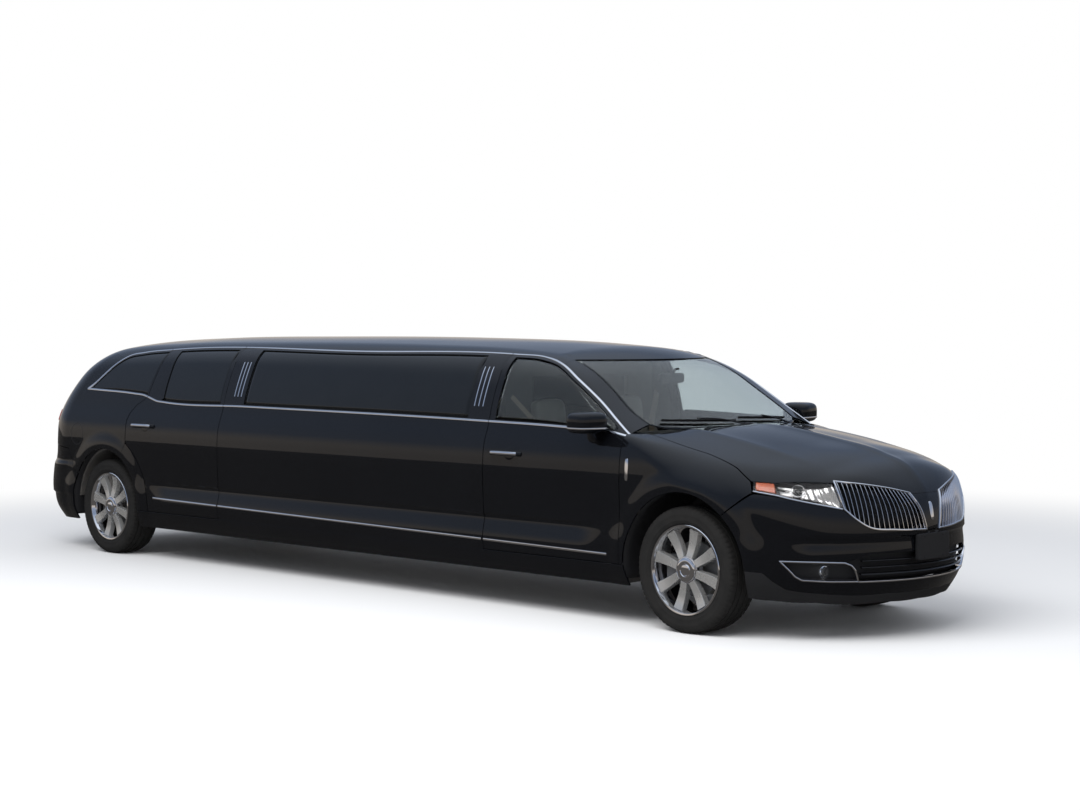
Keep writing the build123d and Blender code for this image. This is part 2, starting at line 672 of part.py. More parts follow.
# Front subframe with its lower arms
front_frame = (
    block((FRONT_AXLE_X - 200, FRONT_AXLE_X + 200), (-420, 420), (210, 270))
    - block((FRONT_AXLE_X - 130, FRONT_AXLE_X + 130), (-340, 340), (0, 400)))
arm = plan_prism(
    [(FRONT_AXLE_X - 150, 400), (FRONT_AXLE_X + 60, 400), (FRONT_AXLE_X + 25, 650), (FRONT_AXLE_X - 25, 650)],
    215, 240)
save("front_subframe", [front_frame + arm + arm.mirror(Plane.XZ)])

# Engine with its gearbox, and the shaft to the rear axle
engine = block((FRONT_AXLE_X - 250, FRONT_AXLE_X + 400), (-330, 330), (290, 930))
save("engine", [engine])
save("drive_shaft", [round_bar((FRONT_AXLE_X - 250, 0, 300), (REAR_AXLE_X + 170, 0, 295), 28) - engine])

# Floor, sills, rear floor and wheel houses
cabin_front_x = FRONT_DOOR_FRONT_X - 60
cabin_rear_x = REAR_AXLE_X + 520
floor = block((cabin_rear_x, cabin_front_x + 25), (-760, 760), (FLOOR_Z - 30, FLOOR_Z))
sill = block((REAR_AXLE_X + ARCH_R + 60, FRONT_AXLE_X - ARCH_R - 40), (760, 872), (BOTTOM_Z + 12, SILL_TOP_Z))
kick_up = block((cabin_rear_x - 30, cabin_rear_x), (-760, 760), (FLOOR_Z - 30, REAR_FLOOR_Z))
rear_floor = block((TAIL_X + 240, cabin_rear_x), (-620, 620), (REAR_FLOOR_Z - 30, REAR_FLOOR_Z))
house = (
    cylinder_across(REAR_AXLE_X, TYRE_R, ARCH_R + 15, 590, 900)
    - cylinder_across(REAR_AXLE_X, TYRE_R, ARCH_R - 10, 615, WIDE)
    & block((TAIL_X, cabin_rear_x), (0, WIDE), (TYRE_R + 60, 900)))
save("floor", [
    floor + kick_up + rear_floor + sill + sill.mirror(Plane.XZ)
    + house + house.mirror(Plane.XZ)])

# Bulkhead, cowl and hinge pillars
bulkhead_x = cabin_front_x
bulkhead = block((bulkhead_x, bulkhead_x + 25), (-760, 760), (FLOOR_Z, COWL_Z))
cowl = plan_prism([
    (bulkhead_x, -COWL_HALF_WIDTH + 15), (FRONT_AXLE_X - 400, -COWL_HALF_WIDTH + 15),
    (FRONT_AXLE_X - 300, -350),
    (FRONT_AXLE_X - 290, 0), (FRONT_AXLE_X - 300, 350), (FRONT_AXLE_X - 400, COWL_HALF_WIDTH - 15),
    (bulkhead_x, COWL_HALF_WIDTH - 15)], COWL_Z - 25, COWL_Z)
pillar = block((bulkhead_x - 40, bulkhead_x + 25), (760, 815), (SILL_TOP_Z, COWL_Z))
save("bulkhead", [bulkhead + cowl + pillar + pillar.mirror(Plane.XZ)])

# Tank and exhaust under the floor
save("fuel_tank", [block((REAR_AXLE_X + 560, REAR_AXLE_X + 1360), (-700, -140), (205, FLOOR_Z - 35))])
exhaust = round_bar((FRONT_AXLE_X - 300, 190, 265), (REAR_AXLE_X + 500, 190, 265), 32)
silencer = block((REAR_AXLE_X + 560, REAR_AXLE_X + 1200), (110, 330), (210, 315))
save("exhaust", [exhaust + silencer])

# Inside
dash = plan_prism([
    (bulkhead_x - 4, -740), (bulkhead_x - 4, 740), (bulkhead_x - 190, 740), (bulkhead_x - 240, 0),
    (bulkhead_x - 190, -740)], 800, COWL_Z - 30)
save("dashboard", [dash])
wheel_plane = Plane(
    origin=(STEERING_X, STEERING_Y, STEERING_Z), z_dir=(-cos(radians(28)), 0, sin(radians(28))))
with BuildPart() as steering:
    with BuildSketch(wheel_plane.offset(-12)):
        Circle(190)
        Circle(165, mode=Mode.SUBTRACT)
        Circle(55)
        Rectangle(36, 340)
        with Locations((-80, 0)):
            Rectangle(160, 30)
    extrude(amount=24)
    with BuildSketch(wheel_plane.offset(-12)):
        Circle(30)
    extrude(amount=-170)
save("steering_wheel", [steering.part - dash])


def seat(x, y, width, depth, height, base_z):
    """Cushion and raked back, seen from the side and run across its width."""
    with BuildPart() as chair:
        with BuildSketch(Plane.XZ.offset(-(y + width / 2))):
            Polygon(
                (x, base_z), (x + depth, base_z), (x + depth + 10, base_z + 260), (x + 150, base_z + 235),
                (x, base_z + height), (x - 110, base_z + height), (x - 20, base_z + 60), align=None)
        extrude(amount=width)
    return chair.part


seat_x = FRONT_AXLE_X - 1590
front_seats = [
    seat(seat_x, y, 520, 520, 780, FLOOR_Z)
    + block((seat_x - 140, seat_x - 50), (y - 130, y + 130), (FLOOR_Z + 760, FLOOR_Z + 940))
    for y in (-STEERING_Y, STEERING_Y)]
save("front_seats", front_seats)
partition_x = FRONT_DOOR_REAR_X - 90
save("partition", [block((partition_x, partition_x + 30), (-700, 700), (FLOOR_Z, 1560))
                   - block((partition_x - 10, partition_x + 40), (-450, 450), (1050, 1450))])
bench = seat(cabin_rear_x + 130, 0, 1300, 480, 640, FLOOR_Z)
side_bench = block((cabin_rear_x + 640, partition_x - 400), (430, 790), (FLOOR_Z, FLOOR_Z + 260)) + block(
    (cabin_rear_x + 640, partition_x - 400), (690, 790), (FLOOR_Z + 260, FLOOR_Z + 640))
save("lounge_seats", [bench, side_bench])
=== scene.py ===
import math

import bmesh
import bpy
import numpy as np
from bpy.props import FloatProperty, FloatVectorProperty, PointerProperty
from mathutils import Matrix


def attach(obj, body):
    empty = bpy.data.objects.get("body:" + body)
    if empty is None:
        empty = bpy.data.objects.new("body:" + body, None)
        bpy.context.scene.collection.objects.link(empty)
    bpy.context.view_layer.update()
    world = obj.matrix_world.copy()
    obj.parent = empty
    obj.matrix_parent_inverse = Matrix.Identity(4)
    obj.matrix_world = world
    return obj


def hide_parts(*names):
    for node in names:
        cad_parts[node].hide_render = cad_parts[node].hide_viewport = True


bl_info = {
    "name": "Stretch limousine",
    "version": (1, 0, 0),
    "blender": (4, 5, 0),
    "location": "View3D > Sidebar > Limousine",
    "description": "Builds the looks of a stretch limousine around its packed solids",
    "category": "Object",
}

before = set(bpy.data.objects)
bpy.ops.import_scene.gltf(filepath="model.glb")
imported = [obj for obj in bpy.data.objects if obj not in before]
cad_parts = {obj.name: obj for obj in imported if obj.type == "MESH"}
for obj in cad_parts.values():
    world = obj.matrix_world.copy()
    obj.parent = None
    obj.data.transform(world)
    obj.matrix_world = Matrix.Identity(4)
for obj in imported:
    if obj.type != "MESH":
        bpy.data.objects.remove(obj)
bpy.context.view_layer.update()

# Places on the car, in metres. X points forward, Y to its left, Z up
NOSE = 4.170
TAIL = -4.170
FRONT_AXLE = 3.085
REAR_AXLE = -2.958
WHEEL_Y = 0.812
TYRE_R = 0.370
ARCH_R = 0.455
SEAM = 0.0025

# Signs that take a place, or one in end view, to the car's other side
FLIP, TURNED = (1, -1, 1), (-1, 1)
# Axes that places may move along while they settle on the surface
LENGTHWAYS, SIDEWAYS, UPRIGHT, LEVEL, FREE = (1, 0, 0), (0, 1, 0), (0, 0, 1), (1, 1, 0), (1, 1, 1)

# Half width of the body and cabin at each height
HALF_WIDTH = np.array([
    (0.175, 0.880), (0.235, 0.905), (0.330, 0.945), (0.470, 0.958), (0.620, 0.953), (0.760, 0.958),
    (0.900, 0.960), (1.040, 0.946), (1.165, 0.905), (1.280, 0.876), (1.440, 0.818), (1.600, 0.744),
    (1.740, 0.668)])
# Ends in plan. Columns: height, how far the end lies in from NOSE, TAIL or the
# front axle, radius of the corner beside it
NOSE_END = np.array([
    (0.175, 0.130, 0.8), (0.235, 0.088, 0.8), (0.330, 0.038, 0.8), (0.470, 0.013, 0.8), (0.620, 0.008, 0.8),
    (0.760, 0.028, 0.8), (0.900, 0.078, 0.8), (1.040, 0.138, 0.8), (1.165, 0.198, 0.8), (1.300, 0.270, 0.8)])
TAIL_END = np.array([
    (0.175, 0.140, 0.48), (0.235, 0.090, 0.48), (0.330, 0.030, 0.48), (0.470, 0.000, 0.48),
    (0.620, 0.005, 0.48), (0.760, 0.050, 0.48), (0.900, 0.060, 0.48), (1.040, 0.075, 0.47),
    (1.165, 0.130, 0.44), (1.280, 0.235, 0.40), (1.440, 0.380, 0.40), (1.600, 0.560, 0.38),
    (1.740, 0.730, 0.35)])
SCREEN_END = np.array([
    (1.050, 0.160, 0.156), (1.110, 0.240, 0.152), (1.280, 0.515, 0.140), (1.440, 0.765, 0.130),
    (1.600, 1.015, 0.120), (1.740, 1.205, 0.110)])
NOSE_TURN, TAIL_TURN, SCREEN_TURN = (math.radians(a) for a in (50, 61, 66))

# Crowned tops. Columns: x, height in the middle, drop at 1 m from it
BONNET_TOP = np.array([
    (2.400, 1.184, 0.040), (2.600, 1.182, 0.055), (3.000, 1.168, 0.160), (3.450, 1.106, 0.205),
    (3.800, 1.034, 0.255), (4.000, 0.948, 0.310), (4.110, 0.830, 0.400), (4.250, 0.640, 0.480)])
ROOF_TOP = np.array([
    (-4.300, 1.440, 0.190), (-3.700, 1.592, 0.190), (-3.200, 1.655, 0.150), (-2.400, 1.692, 0.130),
    (-1.200, 1.705, 0.120), (0.400, 1.700, 0.120), (1.400, 1.675, 0.120), (2.000, 1.635, 0.130),
    (2.900, 1.560, 0.150)])

# Lines along the left side, as (x, z)
BELT = [
    (2.640, 1.113), (2.600, 1.126), (2.480, 1.150), (2.060, 1.166), (1.260, 1.180), (-1.200, 1.200),
    (-2.225, 1.206), (-2.330, 1.214), (-2.400, 1.230), (-2.500, 1.252), (-2.650, 1.263),
    (-3.200, 1.283), (-3.318, 1.287)]
CANT = [
    (2.640, 1.113), (2.602, 1.136), (2.498, 1.203), (2.278, 1.347), (2.102, 1.450), (1.904, 1.543),
    (1.700, 1.586), (1.444, 1.600), (0.000, 1.607), (-2.376, 1.602), (-2.736, 1.577), (-2.916, 1.547),
    (-3.020, 1.490), (-3.123, 1.415), (-3.226, 1.338), (-3.318, 1.287)]
DOOR_STRIP = [(2.500, 0.420), (-2.300, 0.475)]
DOOR_FRONT, DOOR_REAR = 2.600, 1.410
REAR_DOOR_FRONT = -1.455
SILL_Z = 0.366
ROOF_REAR_X = -2.950

# Lines round the front end, as (x, y, z) near the surface
LAMP_TOP = [(3.546, 0.890, 0.941), (3.667, 0.827, 0.929), (3.880, 0.629, 0.922), (3.899, 0.607, 0.916)]
LAMP_FOOT = [(3.569, 0.898, 0.852), (3.694, 0.836, 0.830), (3.760, 0.798, 0.813), (3.968, 0.588, 0.756)]
GRILLE_TOP = [(3.912, 0.590, 0.908), (4.013, 0.429, 0.886), (4.075, 0.290, 0.862), (4.116, 0.146, 0.830)]
GRILLE_OUTER = [(3.974, 0.580, 0.756), (3.945, 0.588, 0.830), (3.912, 0.590, 0.908)]
GRILLE_FOOT = [
    (3.974, 0.580, 0.756), (4.018, 0.528, 0.700), (4.052, 0.465, 0.656), (4.120, 0.290, 0.632),
    (4.168, 0.060, 0.622)]
GRILLE_INNER = [(4.168, 0.060, 0.622), (4.155, 0.095, 0.737), (4.116, 0.146, 0.830)]
# The same for the low opening, as (y, z) in end view
OPENING_TOP = [(0.838, 0.465), (0.581, 0.455), (0.510, 0.480), (0.450, 0.503), (0.000, 0.503)]
OPENING_FOOT = [
    (0.838, 0.465), (0.783, 0.380), (0.755, 0.359), (0.487, 0.347), (0.200, 0.344), (0.000, 0.344)]
FOG_BEZEL = [
    (0.838, 0.465), (0.700, 0.461), (0.581, 0.455), (0.548, 0.440), (0.528, 0.416), (0.500, 0.347),
    (0.640, 0.350), (0.755, 0.359), (0.783, 0.380)]

# Angles round the arches, in degrees from straight ahead, at which panels end
FRONT_ARCH_SEAM, FRONT_ARCH_FOG, FRONT_ARCH_VALANCE = 48, 13, 4
REAR_ARCH_SEAM = 147
# How far the sides and the top of the cabin are rounded into each other
CABIN_ROUND = 0.13
# Lower edge of the doors, a seam above the sill
DOOR_FOOT = SILL_Z + 0.004
# Where the belt and cant lines meet behind the quarter window, and where the rear door
# and the quarter end on each of these lines
LINES_MEET = -3.318
DOOR_BACK = (-2.450, -2.374)
QUARTER_FRONT = (-2.456, -2.380)
# Half width of the tail opening and of the tailgate in it
OPENING_HALF, GATE_HALF = 0.622, 0.617

# Vertices closer than this are merged, and edges shorter than the second are dropped
MERGE, SLIVER = 2e-5, 1e-6
# How a piece is made of its shell
SOLID = {"closed": True}
FRAME = {"bevel": 0.0015, "thick": 0.020, "inside": 1}
COVER = {"bevel": 0.002, "thick": 0.006}
LAMP = {"bevel": 0.003, "thick": 0.016}
PANE = {"thick": 0.004}
BACK = {"thick": 0.003}


def smooth_table(at, table):
    """Cubic Hermite curve through a table's rows, with slopes from the rows around."""
    knots = table[:, 0]
    at = np.clip(at, knots[0], knots[-1])
    slopes = np.gradient(table[:, 1:], knots, axis=0)
    i = np.clip(np.searchsorted(knots, at) - 1, 0, len(knots) - 2)
    step = knots[i + 1] - knots[i]
    t = (at - knots[i]) / step
    h00, h10 = 2 * t**3 - 3 * t**2 + 1, t**3 - 2 * t**2 + t
    h01, h11 = 1 - h00, t**3 - t**2
    return [
        h00 * table[i, k] + h10 * step * slopes[i, k - 1]
        + h01 * table[i + 1, k] + h11 * step * slopes[i + 1, k - 1]
        for k in range(1, table.shape[1])]


def ease(t):
    """Smooth step from 0 to 1 while t does."""
    t = np.clip(t, 0, 1)
    return t * t * (3 - 2 * t)


def plan_depth(x, y, z, end_table, end_x, turn):
    """Distance in from a plan outline at a height: a straight side, an arc of the
    corner radius over the stated turn, and an arc that crosses the middle squarely.
    Negative outside. x is measured towards the end, which may be at the car's tail."""
    (half_width,) = smooth_table(z, HALF_WIDTH)
    set_in, radius = smooth_table(z, end_table)
    end = end_x - set_in
    end_radius = radius + (half_width - radius) / np.cos(turn)
    start = end - (end_radius - (end_radius - radius) * np.sin(turn))
    side = half_width - y
    corner = radius - np.hypot(x - start, y - (half_width - radius))
    front = end_radius - np.hypot(x - end + end_radius, y)
    past = np.arctan2(x - start, y - (half_width - radius)) > turn
    return np.where(x < start, side, np.where(past, front, corner))


def crown(x, y, table):
    """Height of a crowned top: an arc across the car that drops as stated at 1 m."""
    middle, drop = smooth_table(x, table)
    radius = (1 + drop**2) / (2 * drop)
    return middle - radius + np.sqrt(radius**2 - np.minimum(y, 1.2) ** 2)


def soft_min(a, b, width):
    """Smaller of two distances, rounded over where they are alike."""
    h = np.maximum(width - np.abs(a - b), 0) / width
    return np.minimum(a, b) - h * h * width / 4


def side_relief(x, z):
    """How far the side stands out from its plain form: swelling round the wheel
    arches, a ledge along the doors, a crease across the nose and two steps across
    the rear bumper."""
    bumper = ease((-3.36 - x) / 0.12)
    out = bumper * (0.010 * ease((0.700 - z) / 0.014) - 0.014 * ease((0.450 - z) / 0.012))
    for axle in (FRONT_AXLE, REAR_AXLE):
        r = np.hypot(x - axle, z - TYRE_R)
        out = out + 0.012 * ease((0.60 - r) / 0.12) * (z < 1.05)
    doors = ease((2.48 - x) / 0.25) * ease((x + 2.36) / 0.25)
    below = np.maximum(0.598 - z, 0)
    out = out - doors * 0.014 * (1 - np.exp(-below / 0.008)) * np.exp(-((below / 0.085) ** 2))
    out = out + doors * 0.006 * np.exp(-(((z - 0.445) / 0.045) ** 2))
    nose = ease((x - 3.72) / 0.15)
    return out - nose * 0.014 * (1 - np.exp(-below / 0.010)) * np.exp(-((below / 0.085) ** 2))


def depth(p, cabin):
    """Depth of points below the surface of the body, or of the cabin with its roof."""
    x, y, z = p[..., 0], np.abs(p[..., 1]), p[..., 2]

    def side(height):
        if cabin:
            ahead = plan_depth(x, y, height, SCREEN_END, FRONT_AXLE, SCREEN_TURN)
        else:
            ahead = plan_depth(x, y, height, NOSE_END, NOSE, NOSE_TURN)
        return np.where(x > 0, ahead, plan_depth(-x, y, height, TAIL_END, -TAIL, TAIL_TURN))

    step = 1e-3
    plain = side(z)
    lean = np.sqrt(1 + np.clip((side(z + step) - plain) / step, -2, 2) ** 2)
    plain = plain + side_relief(x, z)
    table = ROOF_TOP if cabin else BONNET_TOP
    height = crown(x, y, table)
    slope = (crown(x + step, y, table) - height) / step
    if cabin:
        return soft_min(plain / lean, (height - z) / np.sqrt(1 + slope**2), CABIN_ROUND)
    narrow = 0.06 - 0.02 * ease((x - 3.0) / 1.0)
    ridge = 0.014 * np.exp(-np.hypot(y, 0.003) / narrow) * ease((x - 2.7) / 0.4)
    shoulder = 0.50 + 0.04 * ease((x - 2.7) / 0.7)
    fold = 0.014 * np.exp(-np.hypot(y - shoulder, 0.008) / 0.07)
    ridge = ridge + fold * ease((x - 2.6) / 0.3) * ease((3.9 - x) / 0.5)
    top = (height + ridge - z) / np.sqrt(1 + slope**2)
    width = 0.03 + 0.13 * ease((x - 2.62) / 0.5) * ease((4.05 - x) / 0.5)
    far_above = 9.0
    return soft_min(plain / lean, np.where(x < 2.55, far_above, top), width)


def inward(p, cabin):
    """Gradient of the depth, by central differences."""
    step = 5e-4
    moves = np.eye(3) * step
    return np.stack([(depth(p + d, cabin) - depth(p - d, cabin)) / (2 * step) for d in moves], -1)


def settle(p, cabin=False, along=FREE, steps=14):
    """Points moved onto the surface by Newton steps along the gradient, or along the
    axes that are 1. Where the gradient is small, and at long steps, they are held back."""
    p = np.array(p, float)
    least_square, longest = 0.02, 0.12
    for _ in range(steps):
        g = inward(p, cabin) * along
        move = depth(p, cabin)[..., None] * g / np.maximum((g * g).sum(-1, keepdims=True), least_square)
        length = np.linalg.norm(move, axis=-1, keepdims=True)
        p = p - move * np.minimum(1, longest / np.maximum(length, 1e-9))
    return p


def out_from(p, cabin=False):
    """Outward unit normals of the surface at points."""
    g = inward(p, cabin)
    return -g / np.linalg.norm(g, axis=-1, keepdims=True)


def columns(points):
    """The coordinates of points, each on its own."""
    return np.moveaxis(np.asarray(points, float), -1, 0)


def grid_of(first, second):
    """Grid of pairs of two lists of numbers."""
    return np.stack(np.meshgrid(first, second, indexing="ij"), -1)


def side_line(points, cabin=False):
    """Side view places (x, z) on the left of the car."""
    x, z = columns(points)
    (y,) = smooth_table(z, HALF_WIDTH)
    return settle(np.stack([x, y - 0.02, z], -1), cabin, SIDEWAYS)


def end_line(points, table, reach):
    """End view places (y, z) on the tail, nose or windscreen. reach is the x of the
    place that the table is measured from."""
    y, z = columns(points)
    set_in, _ = smooth_table(z, table)
    guess = reach - np.sign(reach) * (set_in + 0.3 * y**2)
    return settle(np.stack([guess, y, z], -1), table is not NOSE_END, LENGTHWAYS)


def tail_line(points):
    """End view places on the tail."""
    return end_line(points, TAIL_END, TAIL)


def nose_line(points):
    """End view places on the nose."""
    return end_line(points, NOSE_END, NOSE)


def screen_line(points):
    """End view places on the windscreen."""
    return end_line(points, SCREEN_END, FRONT_AXLE)


def bonnet_line(points):
    """Plan places (x, y) on the bonnet."""
    x, y = columns(points)
    return settle(np.stack([x, y, crown(x, np.abs(y), BONNET_TOP)], -1), False, UPRIGHT)


def spread(points, count, rounded=False):
    """Count places evenly along a line through points, or along a smooth curve."""
    points = np.asarray(points, float)
    gaps = np.linalg.norm(np.diff(points, axis=0), axis=1)
    along = np.concatenate([[0], np.cumsum(np.maximum(gaps, 1e-9))])
    if rounded:
        fine = np.linspace(0, along[-1], 30 * len(points))
        points = np.stack(smooth_table(fine, np.column_stack([along, points])), -1)
        gaps = np.linalg.norm(np.diff(points, axis=0), axis=1)
        along = np.concatenate([[0], np.cumsum(gaps)])
    want = np.linspace(0, along[-1], count)
    return np.stack([np.interp(want, along, points[:, k]) for k in range(points.shape[1])], -1)


def join(*lines):
    """One line from several that follow on."""
    whole = [np.asarray(lines[0], float)]
    for line in lines[1:]:
        line = np.asarray(line, float)
        whole.append(line[1:] if np.allclose(line[0], whole[-1][-1], atol=1e-4) else line)
    return np.concatenate(whole)


def across(half, flip=FLIP):
    """A line from the car's left to its middle, carried on to the right."""
    half = np.asarray(half, float)
    return np.concatenate([half, half[-2::-1] * flip])


def both_halves(half, count, rounded=False):
    """Count places of an end view line, given from the left to the middle."""
    return spread(across(half, TURNED), count, rounded)


def bridge(start, stop, count, along=FREE):
    """Line of the cabin's surface between two places."""
    return settle(spread([start, stop], count), True, along)


def arch(axle, start, stop, radius=ARCH_R, count=24):
    """Side view places along a wheel arch; angles in degrees from straight ahead."""
    a = np.radians(np.linspace(start, stop, count))
    return np.stack([axle + radius * np.cos(a), TYRE_R + radius * np.sin(a)], -1)


def part_line(line, x0, x1, lift=0.0):
    """The stretch of a side view line between two x, as a smooth curve moved up by lift."""
    x = np.linspace(x0, x1, 8 + int(abs(x1 - x0) / 0.02))
    (z,) = smooth_table(x, np.asarray(sorted(line), float))
    return np.stack([x, z + lift], -1)


def coons(bottom, top, left, right):
    """Grid between four edges: the blends of opposite edges less that of the corners.
    bottom and top run left to right, left and right run bottom to top."""
    u = np.linspace(0, 1, len(bottom))[:, None, None]
    v = np.linspace(0, 1, len(left))[None, :, None]
    corners = (1 - u) * ((1 - v) * bottom[0] + v * top[0]) + u * ((1 - v) * bottom[-1] + v * top[-1])
    return (1 - v) * bottom[:, None] + v * top[:, None] + (1 - u) * left[None] + u * right[None] - corners


def patch(bottom, top, left, right, nu, nv, cabin=False, along=FREE):
    """Surface patch between four lines near the surface."""
    edges = [spread(line, n) for line, n in ((bottom, nu), (top, nu), (left, nv), (right, nv))]
    return settle(coons(*edges), cabin, along)


def wide_patch(bottom, top, left, nu, nv, cabin=False, along=FREE):
    """Surface patch whose right edge mirrors its left edge across the car."""
    return patch(bottom, top, left, left * FLIP, nu, nv, cabin, along)


def strip_between(bottom, top, nu, nv, cabin=False):
    """Patch of the side between two lines, with straight ends."""
    ends = [np.stack([bottom[k], top[k]]) for k in (0, -1)]
    return patch(bottom, top, *ends, nu, nv, cabin, SIDEWAYS)


def ring(outer, inner, count, rows):
    """Grid between two loops, each given as edges that match one to one."""
    loops = [
        np.concatenate([spread(edge, n + 1)[:-1] for edge, n in zip(edges, count)])
        for edges in (outer, inner)]
    t = np.linspace(0, 1, rows)[None, :, None]
    return (1 - t) * loops[0][:, None] + t * loops[1][:, None]


class Shell:
    """Vertices, faces and material numbers of one piece, gathered from grids."""

    def __init__(self):
        self.points, self.faces, self.slots, self.count = [], [], [], 0

    def add(self, points, faces, slot=0):
        points, faces = np.asarray(points, float), np.asarray(faces)
        self.points.append(points)
        self.faces.append(faces + self.count)
        self.slots.append(np.full(len(faces), slot))
        self.count += len(points)

    def grid(self, p, slot=0, closed_u=False, closed_v=False, flip=False, caps=False):
        """Quads over a grid of points, wrapped round where it is closed."""
        nu, nv = p.shape[:2]
        number = np.arange(nu * nv).reshape(nu, nv)
        iu = np.arange(nu if closed_u else nu - 1)
        iv = np.arange(nv if closed_v else nv - 1)
        a, b = number[np.ix_(iu, iv)], number[np.ix_((iu + 1) % nu, iv)]
        c, d = number[np.ix_((iu + 1) % nu, (iv + 1) % nv)], number[np.ix_(iu, (iv + 1) % nv)]
        quads = np.stack([a, d, c, b] if flip else [a, b, c, d], -1).reshape(-1, 4)
        if caps:
            for row in (number[0], number[-1]):
                i = np.arange(len(row) // 2 - 1)
                quads = np.concatenate([quads, np.stack([row[i], row[i + 1], row[-i - 2], row[-i - 1]], -1)])
        self.add(p.reshape(-1, 3), quads, slot)

    def skin(self, p, cabin=False, slot=0, closed_u=False, out=None, lift=0.0):
        """An open grid, moved out by lift and turned so that its faces look out of the
        car or the way stated."""
        if lift:
            p = p + out_from(p, cabin) * lift
        u = p[1:, :-1] - p[:-1, :-1]
        v = p[:-1, 1:] - p[:-1, :-1]
        out = out_from(p[:-1, :-1], cabin) if out is None else out
        self.grid(p, slot, closed_u, flip=(np.cross(u, v) * out).sum() < 0)
        return self

    def mirrored(self, keep=True):
        """The same on the car's other side, with or without this side."""
        other = Shell()
        points, faces, slots = (np.concatenate(part) for part in (self.points, self.faces, self.slots))
        if keep:
            other.add(points, faces)
            other.slots[-1] = slots
        other.add(points * FLIP, faces[:, ::-1])
        other.slots[-1] = slots
        return other

    def make(self, name, materials, bevel=0.0, thick=0.0, inside=0, sharp=35, closed=False):
        """The finished mesh object, with doubles merged."""
        points, faces, slots = (np.concatenate(part) for part in (self.points, self.faces, self.slots))
        mesh = bpy.data.meshes.new(name)
        mesh.vertices.add(len(points))
        mesh.vertices.foreach_set("co", points.astype(np.float32).ravel())
        mesh.loops.add(faces.size)
        mesh.loops.foreach_set("vertex_index", faces.astype(np.int32).ravel())
        mesh.polygons.add(len(faces))
        mesh.polygons.foreach_set("loop_start", np.arange(0, faces.size, 4, dtype=np.int32))
        mesh.polygons.foreach_set("material_index", slots.astype(np.int32))
        mesh.update(calc_edges=True)
        for material in materials:
            mesh.materials.append(material)
        tidy = bmesh.new()
        tidy.from_mesh(mesh)
        bmesh.ops.remove_doubles(tidy, verts=tidy.verts, dist=MERGE)
        bmesh.ops.dissolve_degenerate(tidy, edges=tidy.edges, dist=SLIVER)
        if closed:
            bmesh.ops.recalc_face_normals(tidy, faces=tidy.faces)
        tidy.to_mesh(mesh)
        tidy.free()
        mesh.shade_smooth()
        mesh.set_sharp_from_angle(angle=math.radians(sharp))
        piece = bpy.data.objects.new(name, mesh)
        bpy.context.scene.collection.objects.link(piece)
        if thick:
            wall = piece.modifiers.new("wall", "SOLIDIFY")
            wall.thickness = thick
            wall.offset = -1
            wall.material_offset = inside
        if bevel:
            edge = piece.modifiers.new("edge", "BEVEL")
            edge.width = bevel
            edge.segments = 2
            edge.limit_method = "ANGLE"
            edge.angle_limit = math.radians(sharp + 15)
            edge.harden_normals = True
        return piece


def rod(shell, path, profile, out, slot=0, closed_path=False):
    """A closed bar along a path. Its profile lists (across, out) places, where out is
    the stated direction squared to the path."""
    path = np.asarray(path, float)
    if closed_path:
        along = np.roll(path, -1, 0) - np.roll(path, 1, 0)
    else:
        along = np.gradient(path, axis=0)
    along = along / np.linalg.norm(along, axis=1, keepdims=True)
    out = np.broadcast_to(np.asarray(out, float), path.shape)
    out = out - (out * along).sum(1, keepdims=True) * along
    out = out / np.linalg.norm(out, axis=1, keepdims=True)
    beside = np.cross(along, out)
    profile = np.asarray(profile, float)
    grid = path[:, None] + beside[:, None] * profile[None, :, :1] + out[:, None] * profile[None, :, 1:]
    shell.grid(grid, slot, closed_path, True, caps=not closed_path)
def bead(shell, path, profile, cabin=False, closed_path=False):
    """A closed bar along a line of the surface, standing out from it."""
    rod(shell, path, profile, out_from(path, cabin), closed_path=closed_path)

def half_round(width, height, sink=0.004, count=6):
    """Profile of a trim strip: a low arch on a flat base."""
    a = np.linspace(0, math.pi, count)
    arch_over = np.stack([-width / 2 * np.cos(a), height * np.sin(a) ** 0.7], -1)
    base = np.stack([width / 2 * np.cos(a), np.full(count, -sink)], -1)
    return np.concatenate([arch_over, base])


def round_angles(count):
    """Angles evenly round a circle."""
    return np.linspace(0, 2 * math.pi, count, endpoint=False)


def oval(width, height, count=16):
    """Profile of an oval bar."""
    a = round_angles(count)
    return np.stack([width / 2 * np.cos(a), height / 2 * np.sin(a)], -1)


def revolve(shell, profile, centre, slot=0, count=96):
    """Closed ring about a line across the car. Profile: distance along it, radius."""
    along, r = columns(profile)
    a = round_angles(count)[:, None]
    p = np.stack(np.broadcast_arrays(r * np.cos(a), along, r * np.sin(a)), -1)
    shell.grid(p + np.asarray(centre), slot, True, True)


def squared(t, power):
    """A sine or cosine raised to a power with its sign kept."""
    return np.sign(t) * np.abs(t) ** power


def rounded_block(shell, centre, half, power=0.35, slot=0, nu=48, nv=25, shape=None):
    """Closed superellipsoid: each coordinate is its sine or cosine to a power below 1
    times the half size, which squares a ball up. shape bends the result."""
    u = round_angles(nu)[:, None]
    v = np.linspace(-math.pi / 2, math.pi / 2, nv)[None, :]
    ring_size = squared(np.cos(v), power)
    p = np.stack(np.broadcast_arrays(
        half[0] * ring_size * squared(np.cos(u), power), half[1] * ring_size * squared(np.sin(u), power),
        half[2] * squared(np.sin(v), power)), -1)
    if shape:
        p = shape(p)
    shell.grid(p + np.asarray(centre), slot, True)


